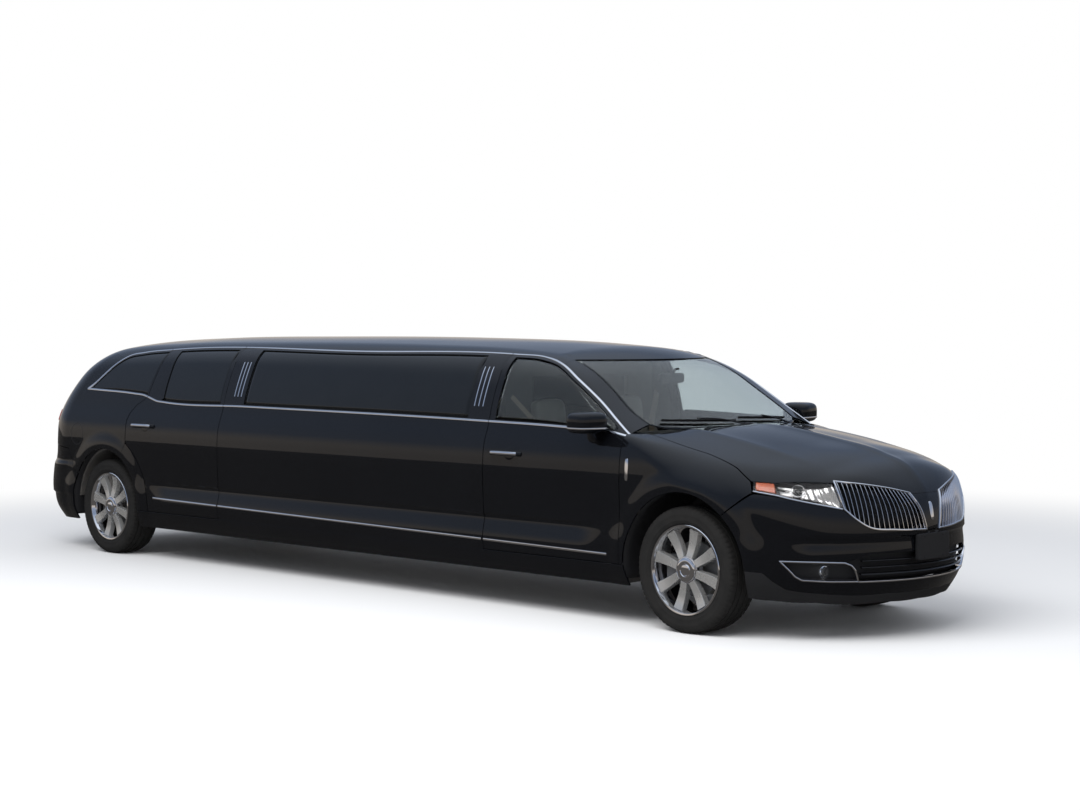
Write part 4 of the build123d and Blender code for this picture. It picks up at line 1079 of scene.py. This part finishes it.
class LIMO_OT_tail(PieceOperator, bpy.types.Operator):
    """Tailgate, its glass and lamps, and the rear bumper"""

    bl_idname = "limousine.tail"
    bl_label = "Tail"

    def build(self, look):
        self.gate(panel_form(look))
        self.lamps()
        self.bumper(panel_form(look))
        self.gate_fittings()
        self.lower_pieces()

    @staticmethod
    def gate(panel):
        """Skin of the tailgate round its glass, and the pane."""
        rim = np.array(GATE_RIM) - [
            (0.005, 0), (0.006, 0.002), (0.006, 0.005), (0.004, 0.006), (0.002, 0.005), (0, 0.005)]
        edge = join([(GATE_HALF, 0.803)], rim[:3])
        outer = [
            across([(GATE_HALF, 0.803), (0, 0.803)], TURNED), edge * TURNED, across(rim[2:], TURNED)[::-1],
            edge[::-1]]
        inner = [
            across([(0.545, 1.215), (0, 1.215)], TURNED), [(-0.545, 1.215), (-0.500, 1.480)],
            across([(0.500, 1.480), (0, 1.485)], TURNED)[::-1], [(0.500, 1.480), (0.545, 1.215)]]
        gate = Shell().skin(tail_line(ring(outer, inner, (60, 24, 60, 24), 28)), True, closed_u=True)
        put(gate, "tailgate_skin", "paint lining", "tailgate", "paint", "tailgate", **panel)
        foot, right, head, left = (tail_line(spread(line, n)) for line, n in zip(inner, (50, 20, 50, 20)))
        pane = patch(foot, head[::-1], left[::-1], right, 50, 20, True, LENGTHWAYS)
        put(Shell().skin(pane, True, lift=-0.004), "tailgate_pane", "dark_glass", "tailgate", "dark_glass",
            "tailgate_glass", **PANE)

    @staticmethod
    def lamps():
        """Lamp bar across the tailgate, carried on round the corners of the body."""
        z = np.linspace(1.022, 1.108, 8)
        bar = Shell().skin(tail_line(grid_of(np.linspace(-GATE_HALF, GATE_HALF, 81), z)), True, lift=0.006)
        put(bar, "tail_lamp_bar", "red", "tailgate", "lamp_red", "tail_lamp", **LAMP)
        inner_edge = tail_line(grid_of([0.627], z)[0])
        outer_edge = side_line(grid_of([-3.760], z)[0], True)
        foot, head = (bridge(outer_edge[k], inner_edge[k], 24, LEVEL) for k in (0, -1))
        wrap = Shell().skin(patch(foot, head, outer_edge, inner_edge, 24, 8, True, LEVEL), True, lift=0.006)
        put(wrap.mirrored(), "corner_lamps", "red", "body", "lamp_red", "rear_corner_lamps", **LAMP)

    @staticmethod
    def bumper(panel):
        """Rear bumper from arch to arch."""
        side = side_line(arch(REAR_AXLE, REAR_ARCH_SEAM + 0.6, 196, count=20))
        seam = side_line([(-3.398, 0.638), (-3.483, 0.808)])
        turn = bridge(seam[-1], tail_line([(GATE_HALF, 0.838)])[0], 30, LEVEL)
        head = join(side[:1], seam, turn, tail_line([(GATE_HALF, 0.797), (0, 0.797)]))
        corner = side_line([(-3.700, 0.238)], True)
        low_corner = bridge(corner[0], tail_line([(0.550, 0.232)])[0], 20, LEVEL)
        foot = join(side[-1:], corner, low_corner, tail_line([(0, 0.230)]))
        bumper = wide_patch(across(foot), across(head), side[::-1], 121, 36, True, LEVEL)
        put(Shell().skin(bumper, True), "rear_bumper_skin", "paint plastic", "body", "paint", "rear_bumper",
            **panel)

    @staticmethod
    def gate_fittings():
        """Bright strip, lamp ribs, plate holder and grip of the tailgate."""
        bright, dark, red, grip = (Shell() for _ in range(4))
        path = tail_line(both_halves([(GATE_HALF, 1.113), (0, 1.113)], 61))
        bead(bright, path, half_round(0.014, 0.008), True)
        put(bright, "tailgate_strip", "chrome", "tailgate", "chrome")
        for y in np.linspace(-0.56, 0.56, 15):
            rib = tail_line(spread([(y, 1.026), (y, 1.104)], 6))
            bead(red, rib, half_round(0.003, 0.0075, 0.002, 4), True)
        put(red, "tail_lamp_ribs", "dark_red", "tailgate", "lamp_red")
        base = tail_line([(0.0, 0.915)])[0]
        rounded_block(dark, base - (0.004, 0, 0), (0.008, 0.170, 0.068), 0.14, nu=64, nv=33)
        put(dark, "rear_plate_holder", "plastic", "tailgate", "black_plastic")
        bead(grip, tail_line(both_halves([(0.200, 1.000), (0, 1.000)], 31)), half_round(0.016, 0.009), True)
        put(grip, "tailgate_grip", "chrome", "tailgate", "chrome")

    @staticmethod
    def lower_pieces():
        """Dark valance under the bumper, reflectors, and exhaust mouths with their rims, each filled by a
        gloss black pad that is painted shade of the pipe's inside.
        """
        pipes, mouth_shade = Shell(), Shell()
        y, z = columns(grid_of(np.linspace(-1, 1, 81), np.linspace(0.262, 0.405, 12)))
        y = y * (0.80 - 0.16 * (z - 0.262) / 0.143)
        face = settle(np.stack([np.full_like(y, -4.12), y, z], -1), True, LENGTHWAYS)
        put(Shell().skin(face, True, lift=0.004), "rear_valance", "plastic", "body", "black_plastic", **COVER)
        for side in (1, -1):
            mark = settle([(-4.05, side * 0.640, 0.560)], True, LEVEL)[0]
            out = out_from(mark, True)
            path = mark + np.linspace(-0.075, 0.075, 12)[:, None] * np.cross(out, (0, 0, 1.0))
            rod(pipes, settle(path, True, LEVEL), half_round(0.030, 0.004), out, 1)
            a = round_angles(48)
            y, z = 0.560 + 0.064 * squared(np.cos(a), 0.7), 0.330 + 0.030 * squared(np.sin(a), 0.7)
            mouth = tail_line(np.stack([y, z], -1)) * (1, side, 1)
            bead(pipes, mouth, half_round(0.009, 0.012, 0.02), closed_path=True)
        # A gloss black pad fills each rim: painted shade where the open pipe would be.
        on_surface(mouth_shade, (0.560, 0.330), (0.062, 0.0055, 0.028), 0.6, tail_line)
        put(mouth_shade.mirrored(), "exhaust_mouth_shade", "gloss", "body", "black_plastic")
        put(pipes, "rear_marks", "chrome dark_red", "body", "chrome")


class LIMO_OT_grille(PieceOperator, bpy.types.Operator):
    """Two grille wings with upright curved slats"""

    bl_idname = "limousine.grille"
    bl_label = "Grille"

    def build(self, look):
        lines = [spread(line, n, True) for line, n in (
            (GRILLE_FOOT, 73), (GRILLE_TOP, 73), (GRILLE_OUTER, 25), (GRILLE_INNER, 25))]
        face = settle(coons(*lines), along=LEVEL)
        back = Shell().skin(face, lift=-0.045)
        put(back.mirrored(), "grille_back", "plastic", "body", "black_plastic", "grille", thick=0.004)
        slats, surround = Shell(), Shell()
        profile = [
            (-0.0022, 0.0), (-0.0012, 0.004), (0.0012, 0.004), (0.0022, 0.0), (0.0022, -0.030),
            (-0.0022, -0.030)]
        for k in range(2, 72, 4):
            bead(slats, face[k], profile)
        loop = np.concatenate([face[:-1, 0], face[-1, :-1], face[:0:-1, -1], face[0, :0:-1]])
        bead(surround, loop, half_round(0.012, 0.008, 0.02), closed_path=True)
        put(slats.mirrored(), "grille_slats", "chrome", "body", "chrome")
        put(surround.mirrored(), "grille_surround", "chrome", "body", "chrome")


class LIMO_OT_lamps(PieceOperator, bpy.types.Operator):
    """Head lamps with their covers, bowls and projectors"""

    bl_idname = "limousine.lamps"
    bl_label = "Head lamps"

    def build(self, look):
        outer = [LAMP_FOOT[0], LAMP_TOP[0]]
        inner = [LAMP_FOOT[-1], (3.938, 0.598, 0.835), LAMP_TOP[-1]]
        face = patch(LAMP_FOOT, LAMP_TOP, outer, inner, 61, 21, along=LEVEL)
        out = out_from(face)
        cover, housing, signal, ball, hoop = (Shell() for _ in range(5))
        cover.skin(face, lift=-0.002)
        put(cover.mirrored(), "lamp_covers", "lens", "body", "lamp_clear", "head_lamps", **BACK)
        u, v = columns(grid_of(np.linspace(0, 1, 61), np.linspace(0, 1, 21)))
        bowl = 0.012 + 0.046 * (1 - (2 * u - 1) ** 4) * (1 - (2 * v - 1) ** 4)
        bowl = bowl + 0.003 * np.sin(75 * u) * ease((u - 0.62) / 0.05) * np.sin(math.pi * v)
        inside = face - out * bowl[..., None]
        # Outer columns, behind the amber lamp, are dark plastic housing and the rest is reflector, except for
        # a band of dark plastic along the top rows that is painted shade of the lamp's lid.
        for part, slot in ((inside[:20], 1), (inside[19:, :17], 0), (inside[19:, 16:], 1)):
            housing.skin(part, slot=slot)
        put(housing.mirrored(), "lamp_bowls", "reflector plastic", "body", "chrome", **BACK)
        signal.skin((face - out * 0.008)[2:17, 3:18])
        put(signal.mirrored(), "lamp_amber", "amber", "body", "lamp_clear", thick=0.006)
        ahead = out[33, 11]
        centre = face[33, 11] - ahead * 0.035
        # The projector is an opaque near-black ball where a clear lens would be. It is painted shade of the
        # lamp's dark inside, and its coat gives the glint.
        rounded_block(ball, centre, (0.024, 0.032, 0.034), 1.0)
        put(ball.mirrored(), "lamp_projectors", "dark_glass", "body", "lamp_clear")
        a = round_angles(40)[:, None]
        side = np.cross(ahead, (0, 0, 1.0))
        side = side / np.linalg.norm(side)
        loop = centre + ahead * 0.006 + 0.038 * (np.cos(a) * side + np.sin(a) * np.cross(side, ahead))
        rod(hoop, loop, oval(0.006, 0.012, 8), ahead, closed_path=True)
        put(hoop.mirrored(), "lamp_rings", "chrome", "body", "chrome")


# Bright strips. Body that carries them, then each line with its ends
BRIGHT = {
    "body": (
        (BELT, REAR_DOOR_FRONT + SEAM, DOOR_REAR - SEAM), (CANT, REAR_DOOR_FRONT + SEAM, DOOR_REAR - SEAM),
        (DOOR_STRIP, REAR_DOOR_FRONT + 0.01, DOOR_REAR - 0.01),
        (BELT, LINES_MEET, QUARTER_FRONT[0]), (CANT, LINES_MEET, QUARTER_FRONT[1])),
    "door_front": (
        (BELT, DOOR_REAR + SEAM, 2.604), (CANT, DOOR_REAR + SEAM, 2.604),
        (DOOR_STRIP, DOOR_REAR + 0.01, 2.497)),
    "door_rear": (
        (BELT, DOOR_BACK[0], REAR_DOOR_FRONT - SEAM), (CANT, DOOR_BACK[1], REAR_DOOR_FRONT - SEAM),
        (DOOR_STRIP, -2.290, REAR_DOOR_FRONT - 0.01)),
}


class LIMO_OT_trim(PieceOperator, bpy.types.Operator):
    """Bright strips of the sides, of the front and on the wide pillars"""

    bl_idname = "limousine.trim"
    bl_label = "Bright trim"

    def build(self, look):
        for body, strips in BRIGHT.items():
            shell = Shell()
            for line, x0, x1 in strips:
                on_cabin = line is not DOOR_STRIP
                path = side_line(spread(part_line(line, x0, x1), 80), on_cabin)
                bead(shell, path, half_round(0.017, 0.005), on_cabin)
            if body != "body":
                put_pair(body, (shell, f"trim_{body}", "chrome", "chrome"))
                continue
            for middle in (1.290, -1.300):
                for x in (middle - 0.040, middle, middle + 0.040):
                    path = side_line(spread([(x, 1.270), (x, 1.520)], 12), True)
                    bead(shell, path, half_round(0.009, 0.004), True)
            path = settle(spread([(3.571, 0.899, 0.850)] + LAMP_FOOT[1:], 40), along=LEVEL)
            bead(shell, path, half_round(0.010, 0.007))
            put(shell.mirrored(), "trim_fixed", "chrome", body, "chrome")


class LIMO_OT_fittings(PieceOperator, bpy.types.Operator):
    """Door handles and outside mirrors"""

    bl_idname = "limousine.fittings"
    bl_label = "Handles and mirrors"

    def build(self, look):
        for body, x0, x1, cup_x, z in (
                ("door_front", 1.484, 1.754, 1.650, 0.985), ("door_rear", -2.576, -2.286, -2.400, 1.020)):
            grip, strip, cup = Shell(), Shell(), Shell()
            path = side_line(spread([(x0, z), (x1, z)], 31))
            out = out_from(path)
            t = np.linspace(-1, 1, 31)[:, None]
            path = path + out * 0.034 * (1 - t**6)
            rod(grip, path, oval(0.030, 0.016), out)
            rod(strip, path[2:-2] + out[2:-2] * 0.005, oval(0.022, 0.010, 12), out[2:-2])
            on_surface(cup, (cup_x, z), (0.047, 0.0015, 0.040), 1.0, side_line)
            put_pair(body, (cup, f"handle_cup_{body}", "gloss", "black_plastic"),
                     (grip, f"handle_{body}", "paint", "paint"),
                     (strip, f"handle_strip_{body}", "chrome", "chrome"))

        def swept(p):
            """Tapers the housing outwards and flattens its rear face."""
            shrink = 1 - 0.22 * np.clip(p[..., 1:2] / 0.13, -1, 1)
            p = p * np.concatenate([shrink, np.ones_like(shrink), 0.9 + 0.1 * shrink], -1)
            return np.concatenate([np.maximum(p[..., :1], -0.060), p[..., 1:]], -1)

        housing, stalk, glass, strip = (Shell() for _ in range(4))
        centre, power = (2.385, 1.025, 1.205), 0.55
        rounded_block(housing, centre, (0.105, 0.105, 0.066), power, nu=72, nv=37, shape=swept)
        foot = side_line([(2.400, 1.085)])[0]
        rod(stalk, spread([foot - (0, 0.02, 0), foot + (0, 0.05, 0.02), (2.395, 1.000, 1.150)], 12, True),
            oval(0.075, 0.030), UPRIGHT)
        rounded_block(glass, (2.324, 1.025, 1.205), (0.003, 0.090, 0.053), 0.4)
        turn = np.radians(np.linspace(-60, 125, 80))
        reach = 0.1055 * math.cos(math.asin(0.5 ** (1 / power))) ** power
        x, y = reach * squared(np.cos(turn), power), reach * squared(np.sin(turn), power)
        belt = spread(swept(np.stack([x, y, np.full(80, -0.033)], -1)), 60)
        rod(strip, belt + centre, oval(0.006, 0.012, 8), UPRIGHT)
        put_pair("door_front", (housing, "mirror", "paint", "paint"),
                 (stalk, "mirror_stalk", "gloss", "black_plastic"),
                 (glass, "mirror_glass", "mirror", "chrome"), (strip, "mirror_strip", "chrome", "chrome"))


class LIMO_OT_wheels(PieceOperator, bpy.types.Operator):
    """Tyres and alloy wheels"""

    bl_idname = "limousine.wheels"
    bl_label = "Wheels"

    def build(self, look):
        for end, x in (("front", FRONT_AXLE), ("rear", REAR_AXLE)):
            for side, (tyre, rim) in both_sides(self.tyre(x), self.rim(x)):
                body = f"wheel_{end}_{side}"
                put(tyre, f"rubber_{end}_{side}", "tyre", body, "tyre", f"tyre_{end}_{side}")
                put(rim, f"rim_{end}_{side}", "alloy chrome cast", body, "alloy", f"wheel_{end}_{side}",
                    bevel=0.0015, closed=True)

    @staticmethod
    def tyre(x):
        """Turned tyre with grooves round its tread, and short cuts over its shoulders."""
        shell = Shell()
        half = [
            (0.000, 0.370), (0.020, 0.370), (0.022, 0.363), (0.030, 0.363), (0.032, 0.370), (0.062, 0.369),
            (0.064, 0.362), (0.072, 0.362), (0.074, 0.369), (0.090, 0.368), (0.103, 0.365), (0.113, 0.357),
            (0.119, 0.345), (0.1225, 0.328), (0.1232, 0.322), (0.1215, 0.318), (0.121, 0.306),
            (0.118, 0.294), (0.1185, 0.289), (0.1155, 0.285), (0.112, 0.274), (0.106, 0.268),
            (0.100, 0.266), (0.100, 0.250)]
        turns, centre = 288, (x, WHEEL_Y, TYRE_R)
        revolve(shell, half + [(-w, r) for w, r in half[:0:-1]], centre, count=turns)
        p = shell.points[0].reshape(turns, -1, 3)
        from_axis = (p - centre) * (1, 0, 1)
        wide = np.abs(p[..., 1] - WHEEL_Y)
        cut = (wide > 0.078) & (wide < 0.115) & (np.arange(turns) % 4 == 0)[:, None]
        shell.points[0] = (p - 0.013 * cut[..., None] * from_axis).reshape(-1, 3)
        return shell

    @staticmethod
    def rim(x):
        """Barrel with a bright lip, eight flat spokes, a plain cap and a brake disc."""
        shell = Shell()
        centre = (x, WHEEL_Y, TYRE_R)
        lip = [
            (0.108, 0.2655), (0.111, 0.262), (0.110, 0.252), (0.098, 0.247), (0.085, 0.240), (0.030, 0.232),
            (-0.060, 0.232), (-0.102, 0.250), (-0.108, 0.262), (-0.104, 0.2655), (-0.096, 0.2655),
            (-0.060, 0.246), (0.030, 0.244), (0.090, 0.250), (0.098, 0.2655)]
        cap = [
            (0.1085, 0.0), (0.108, 0.020), (0.106, 0.031), (0.1015, 0.035), (0.1015, 0.038), (0.105, 0.041),
            (0.1055, 0.052), (0.104, 0.062), (0.100, 0.069), (0.094, 0.071), (0.093, 0.078), (0.088, 0.081),
            (0.060, 0.081), (0.040, 0.081), (0.040, 0.0)]
        disc = [(0.008, 0.165), (0.008, 0.070), (-0.016, 0.070), (-0.016, 0.165)]
        for profile, slot, count in ((lip, 1, 120), (cap, 1, 72), (disc, 2, 72)):
            revolve(shell, profile, centre, slot, count)
        t = np.linspace(0, 1, 12)
        radius, half_wide = 0.076 + 0.166 * t, 0.026 + 0.012 * t
        face = 0.095 - 0.010 * np.sin(math.pi * t) + 0.004 * t
        for a in np.radians(30 + 45 * np.arange(8)):
            rows = [np.stack([
                radius * math.cos(a) - side * half_wide * math.sin(a), face - drop,
                radius * math.sin(a) + side * half_wide * math.cos(a)], -1)
                for side, drop in ((-1.0, 0.036), (-0.86, 0.0), (0.86, 0.0), (1.0, 0.036))]
            shell.grid(np.stack(rows, 1) + centre, 0, False, True, caps=True)
        return shell


class LIMO_OT_liners(PieceOperator, bpy.types.Operator):
    """Linings of the wheel arches, and backs behind the sill, pillar and tail seams"""

    bl_idname = "limousine.liners"
    bl_label = "Arch liners"

    def build(self, look):
        shell = Shell()
        for axle, wall in ((FRONT_AXLE, 0.470), (REAR_AXLE, 0.620)):
            a = np.radians(np.linspace(-11, 191, 60))[:, None]
            rows = [(0.915, 0.4575), (0.900, 0.464), (wall + 0.03, 0.464), (wall, 0.440), (wall, 0.020)]
            y, r = columns(spread(rows, 22))
            p = np.stack(np.broadcast_arrays(axle + r * np.cos(a), y, TYRE_R + r * np.sin(a)), -1)
            p[:, 0] = side_line(p[:, 0, (0, 2)]) - (0, 0.004, 0)
            inwards = np.stack(np.broadcast_arrays(-np.cos(a), 1.0, -np.sin(a)), -1)[:-1]
            shell.skin(p, out=inwards)
        for x0, x1 in ((REAR_AXLE + 0.480, -1.600), (-1.440, 2.400)):
            lines = [side_line(spread([(x0, z), (x1, z)], 40)) for z in (0.330, 0.400)]
            shell.skin(strip_between(*lines, 40, 6), lift=-0.026)
        for x0, x1 in (
                (REAR_DOOR_FRONT + 0.003, REAR_DOOR_FRONT + 0.055), (DOOR_REAR - 0.040, DOOR_REAR + 0.040)):
            lines = [side_line(spread([(x, 0.400), (x, 1.575)], 40), True) for x in (x0, x1)]
            shell.skin(strip_between(*lines, 40, 4, True), True, lift=-0.026)
        shell.skin(tail_line(grid_of(np.linspace(0, 0.590, 31), np.linspace(0.765, 0.845, 6))), lift=-0.030)
        put(shell.mirrored(), "arch_liners", "plastic", "body", "black_plastic", **BACK)


class LIMO_OT_screen_fittings(PieceOperator, bpy.types.Operator):
    """Wipers, and the mirror inside the windscreen"""

    bl_idname = "limousine.screen_fittings"
    bl_label = "Wipers and inner mirror"

    def build(self, look):
        shell, mirror = Shell(), Shell()
        for outer, inner, pivot in ((-0.600, -0.050, -0.010), (0.010, 0.500, 0.560)):
            blade = screen_line(spread([(outer, 1.202), (inner, 1.186)], 24))
            out = out_from(blade, True)
            rod(shell, blade + out * 0.012, oval(0.010, 0.018, 8), out)
            foot = np.array([2.800 - 0.25 * pivot**2, pivot, crown(2.8, abs(pivot), BONNET_TOP) - 0.006])
            middle = blade[10] + out[10] * 0.030
            arm = spread([foot, 0.5 * (foot + middle) + (0, 0, 0.012), middle], 20, True)
            rod(shell, arm, oval(0.018, 0.010, 8), UPRIGHT)
            rounded_block(shell, foot, (0.020, 0.020, 0.014), 0.6, nu=32, nv=17)
        put(shell, "wipers", "plastic", "body", "black_plastic")
        rounded_block(mirror, (2.150, 0, 1.445), (0.016, 0.120, 0.034), 0.45)
        rod(mirror, spread([(2.160, 0, 1.455), (2.185, 0, 1.500), (2.214, 0, 1.508)], 10, True),
            oval(0.024, 0.014), LENGTHWAYS)
        put(mirror, "inner_mirror", "plastic", "body", "black_plastic")


class LIMO_OT_plain_places(PieceOperator, bpy.types.Operator):
    """Plain bright pieces on the wings and nose, and the fuel flap's seam"""

    bl_idname = "limousine.plain_places"
    bl_label = "Plain bright pieces"

    def build(self, look):
        shell, flap = Shell(), Shell()
        on_surface(shell, (2.660, 0.934), (0.013, 0.006, 0.066), 0.5, side_line)
        plates = shell.mirrored()
        on_surface(plates, (0.0, 0.724), (0.015, 0.006, 0.052), 0.5, nose_line)
        put(plates, "plain_plates", "chrome", "body", "chrome")
        a = round_angles(64)
        loop = side_line(np.stack([-3.356 + 0.085 * np.cos(a), 0.930 + 0.085 * np.sin(a)], -1)) * FLIP
        bead(flap, loop, half_round(0.004, 0.0006, 0.002, 4), closed_path=True)
        put(flap, "fuel_flap_seam", "plastic", "body", "black_plastic")


class LIMO_OT_cabin(PieceOperator, bpy.types.Operator):
    """Seats, belts, dashboard and the lounge benches"""

    bl_idname = "limousine.cabin"
    bl_label = "Cabin"

    def build(self, look):
        self.front_seats()
        self.lounge()
        self.dashboard()

    @staticmethod
    def front_seats():
        """Two seats with headrests on posts, and their belts."""
        seats, belts = Shell(), Shell()
        for y in (-0.370, 0.370):
            rounded_block(seats, (1.760, y, 0.450), (0.240, 0.230, 0.085), 0.2)
            pad(seats, (1.775, y, 0.565), (0.250, 0.250, 0.070), -3)
            pad(seats, (1.500, y, 0.860), (0.275, 0.245, 0.060), -76, channels=4)
            pad(seats, (1.412, y, 1.215), (0.085, 0.125, 0.045), -80, channels=1, nu=40, nv=21)
            for post_y in (y - 0.06, y + 0.06):
                post = spread([(1.425, post_y, 1.100), (1.412, post_y, 1.200)], 6)
                rod(seats, post, oval(0.012, 0.012, 8), LENGTHWAYS, 1)
            out = math.copysign(1, y)
            path = [
                (1.400, out * 0.690, 1.330), (1.500, y + out * 0.160, 1.120), (1.640, y, 0.820),
                (1.640, y - out * 0.200, 0.640)]
            rod(belts, spread(path, 40, True), oval(0.046, 0.002, 8), (0.85, 0, 0.5))
        piece = put(seats, "front_seat_pads", "leather chrome", "body", "leather", "front_seats")
        put(belts, "seat_belts", "belt", "body", "lining")

    @staticmethod
    def lounge():
        """A bench across the back and one along the left side."""
        lounge = Shell()
        rounded_block(lounge, (-2.040, 0, 0.450), (0.190, 0.630, 0.085), 0.15)
        rounded_block(lounge, (-0.440, 0.610, 0.450), (1.340, 0.165, 0.085), 0.12)
        for y in (-0.430, 0.0, 0.430):
            pad(lounge, (-2.060, y, 0.570), (0.235, 0.212, 0.065), -3, channels=3)
            pad(lounge, (-2.290, y, 0.800), (0.200, 0.210, 0.055), -76, channels=3)
        for k in range(6):
            x = -0.440 + (k - 2.5) * 0.450
            pad(lounge, (x, 0.595, 0.570), (0.222, 0.160, 0.065), 0, channels=3)
            pad(lounge, (x, 0.735, 0.810), (0.220, 0.045, 0.185), 0, channels=1)
        piece = put(lounge, "lounge_pads", "leather", "body", "leather", "lounge_seats")

    @staticmethod
    def dashboard():
        """Dashboard with its console and four air vents."""

        def hooded(p):
            """Lifts the board over the dials and lowers its edge towards the seats."""
            hood = 0.030 * np.exp(-(((p[..., 1] - 0.370) / 0.17) ** 2)) * (p[..., 2] > 0)
            rise = hood + 0.25 * np.minimum(p[..., 0], 0)
            return p + rise[..., None] * UPRIGHT

        board = Shell()
        rounded_block(board, (2.420, 0, 0.935), (0.118, 0.735, 0.105), 0.3, nu=96, nv=41, shape=hooded)
        rounded_block(board, (2.300, 0, 0.700), (0.110, 0.110, 0.200), 0.25)
        for y in (-0.560, -0.090, 0.090, 0.620):
            rounded_block(board, (2.296, y, 0.955), (0.012, 0.052, 0.030), 0.4, 1, 32, 17)
        put(board, "dashboard_board", "board gloss", "body", "black_plastic", "dashboard")


class LIMO_OT_insides(PieceOperator, bpy.types.Operator):
    """Materials of the solids that keep their own shape"""

    bl_idname = "limousine.insides"
    bl_label = "Inner solids"

    def build(self, look):
        for node, material in CAD_MATERIALS.items():
            piece = bpy.data.objects[node]
            piece.data.materials.clear()
            piece.data.materials.append(MATERIALS[material])


class LIMO_OT_stage(PieceOperator, bpy.types.Operator):
    """Floor, light, and a camera where the photograph was taken"""

    bl_idname = "limousine.stage"
    bl_label = "Stage"

    def build(self, look):
        scene = bpy.context.scene
        mesh = bpy.data.meshes.new("ground")
        reach = 60.0
        corners = [(-reach, -reach, 0), (reach, -reach, 0), (reach, reach, 0), (-reach, reach, 0)]
        mesh.from_pydata(corners, [], [(0, 1, 2, 3)])
        mesh.materials.append(floor_material(look.backdrop))
        ground = bpy.data.objects.new("ground", mesh)
        light = bpy.data.lights.new("key", "AREA")
        light.shape = "RECTANGLE"
        light.size, light.size_y = 10, 5
        light.energy = look.key_light
        key = bpy.data.objects.new("key", light)
        key.location = (3.0, -6.0, 7.0)
        key.rotation_euler = (math.radians(42), 0, math.radians(10))
        key.visible_glossy = False
        self.light_world(scene)
        lens = bpy.data.cameras.new("camera")
        lens.sensor_width = 36
        lens.lens = 68.77
        eye = bpy.data.objects.new("camera", lens)
        eye.location = (10.994, -9.836, 1.793)
        eye.rotation_euler = (math.radians(90 - 2.239), math.radians(0.127), math.radians(45.586))
        for item in (ground, key, eye):
            scene.collection.objects.link(item)
        scene.camera = eye
        scene.view_settings.view_transform = "Standard"

    @staticmethod
    def light_world(scene):
        """Soft light all round: even for matt faces, a sky in gloss, white to the camera
        and through glass."""
        world = bpy.data.worlds.new("soft_light")
        world.use_nodes = True
        scene.world = world
        tree = world.node_tree
        kinds = ("LightPath", "TexCoord", "SeparateXYZ", "ValToRGB")
        path, where, height, sky = (tree.nodes.new(f"ShaderNode{kind}") for kind in kinds)
        tree.links.new(where.outputs["Generated"], height.inputs[0])
        tree.links.new(height.outputs["Z"], sky.inputs[0])
        ramp = sky.color_ramp
        ramp.elements[0].position, ramp.elements[0].color = 0.0, (0.50, 0.45, 0.40, 1)
        ramp.elements[1].position, ramp.elements[1].color = 1.0, (0.80, 0.88, 1.0, 1)
        for position, colour in (
                (0.05, (0.56, 0.51, 0.46, 1)), (0.16, (0.27, 0.32, 0.42, 1)), (0.45, (0.22, 0.28, 0.40, 1))):
            ramp.elements.new(position).color = colour
        seen = None
        for ray in ("Glossy", "Transmission", "Camera"):
            blend = tree.nodes.new("ShaderNodeMix")
            blend.data_type = "RGBA"
            tree.links.new(path.outputs[f"Is {ray} Ray"], blend.inputs[0])
            if seen is None:
                blend.inputs[6].default_value = (0.72, 0.74, 0.78, 1)
                tree.links.new(sky.outputs["Color"], blend.inputs[7])
            else:
                tree.links.new(seen, blend.inputs[6])
                blend.inputs[7].default_value = (1, 1, 1, 1)
            seen = blend.outputs[2]
        tree.links.new(seen, tree.nodes["Background"].inputs["Color"])


OPERATORS = (
    LIMO_OT_doors, LIMO_OT_sides, LIMO_OT_front, LIMO_OT_opening, LIMO_OT_roof, LIMO_OT_tail, LIMO_OT_grille,
    LIMO_OT_lamps, LIMO_OT_trim, LIMO_OT_fittings, LIMO_OT_wheels, LIMO_OT_liners, LIMO_OT_screen_fittings,
    LIMO_OT_plain_places, LIMO_OT_cabin, LIMO_OT_insides, LIMO_OT_stage)


class LIMO_PT_panel(bpy.types.Panel):
    """Lists the operators and what may be changed"""

    bl_idname = "LIMO_PT_panel"
    bl_label = "Limousine"
    bl_space_type = "VIEW_3D"
    bl_region_type = "UI"
    bl_category = "Limousine"

    def draw(self, context):
        for name in LimousineLook.__annotations__:
            self.layout.prop(context.scene.limousine_look, name)
        for operator in OPERATORS:
            self.layout.operator(operator.bl_idname)


def register():
    for cls in (LimousineLook, *OPERATORS, LIMO_PT_panel):
        bpy.utils.register_class(cls)
    bpy.types.Scene.limousine_look = PointerProperty(type=LimousineLook)


def unregister():
    del bpy.types.Scene.limousine_look
    for cls in reversed((LimousineLook, *OPERATORS, LIMO_PT_panel)):
        bpy.utils.unregister_class(cls)


def main():
    """Builds every piece in order."""
    register()
    MATERIALS.update(make_materials(bpy.context.scene.limousine_look))
    for operator in OPERATORS:
        group, name = operator.bl_idname.split(".")
        if getattr(getattr(bpy.ops, group), name)() != {"FINISHED"}:
            raise RuntimeError(operator.bl_idname)


if __name__ == "__main__":
    main()
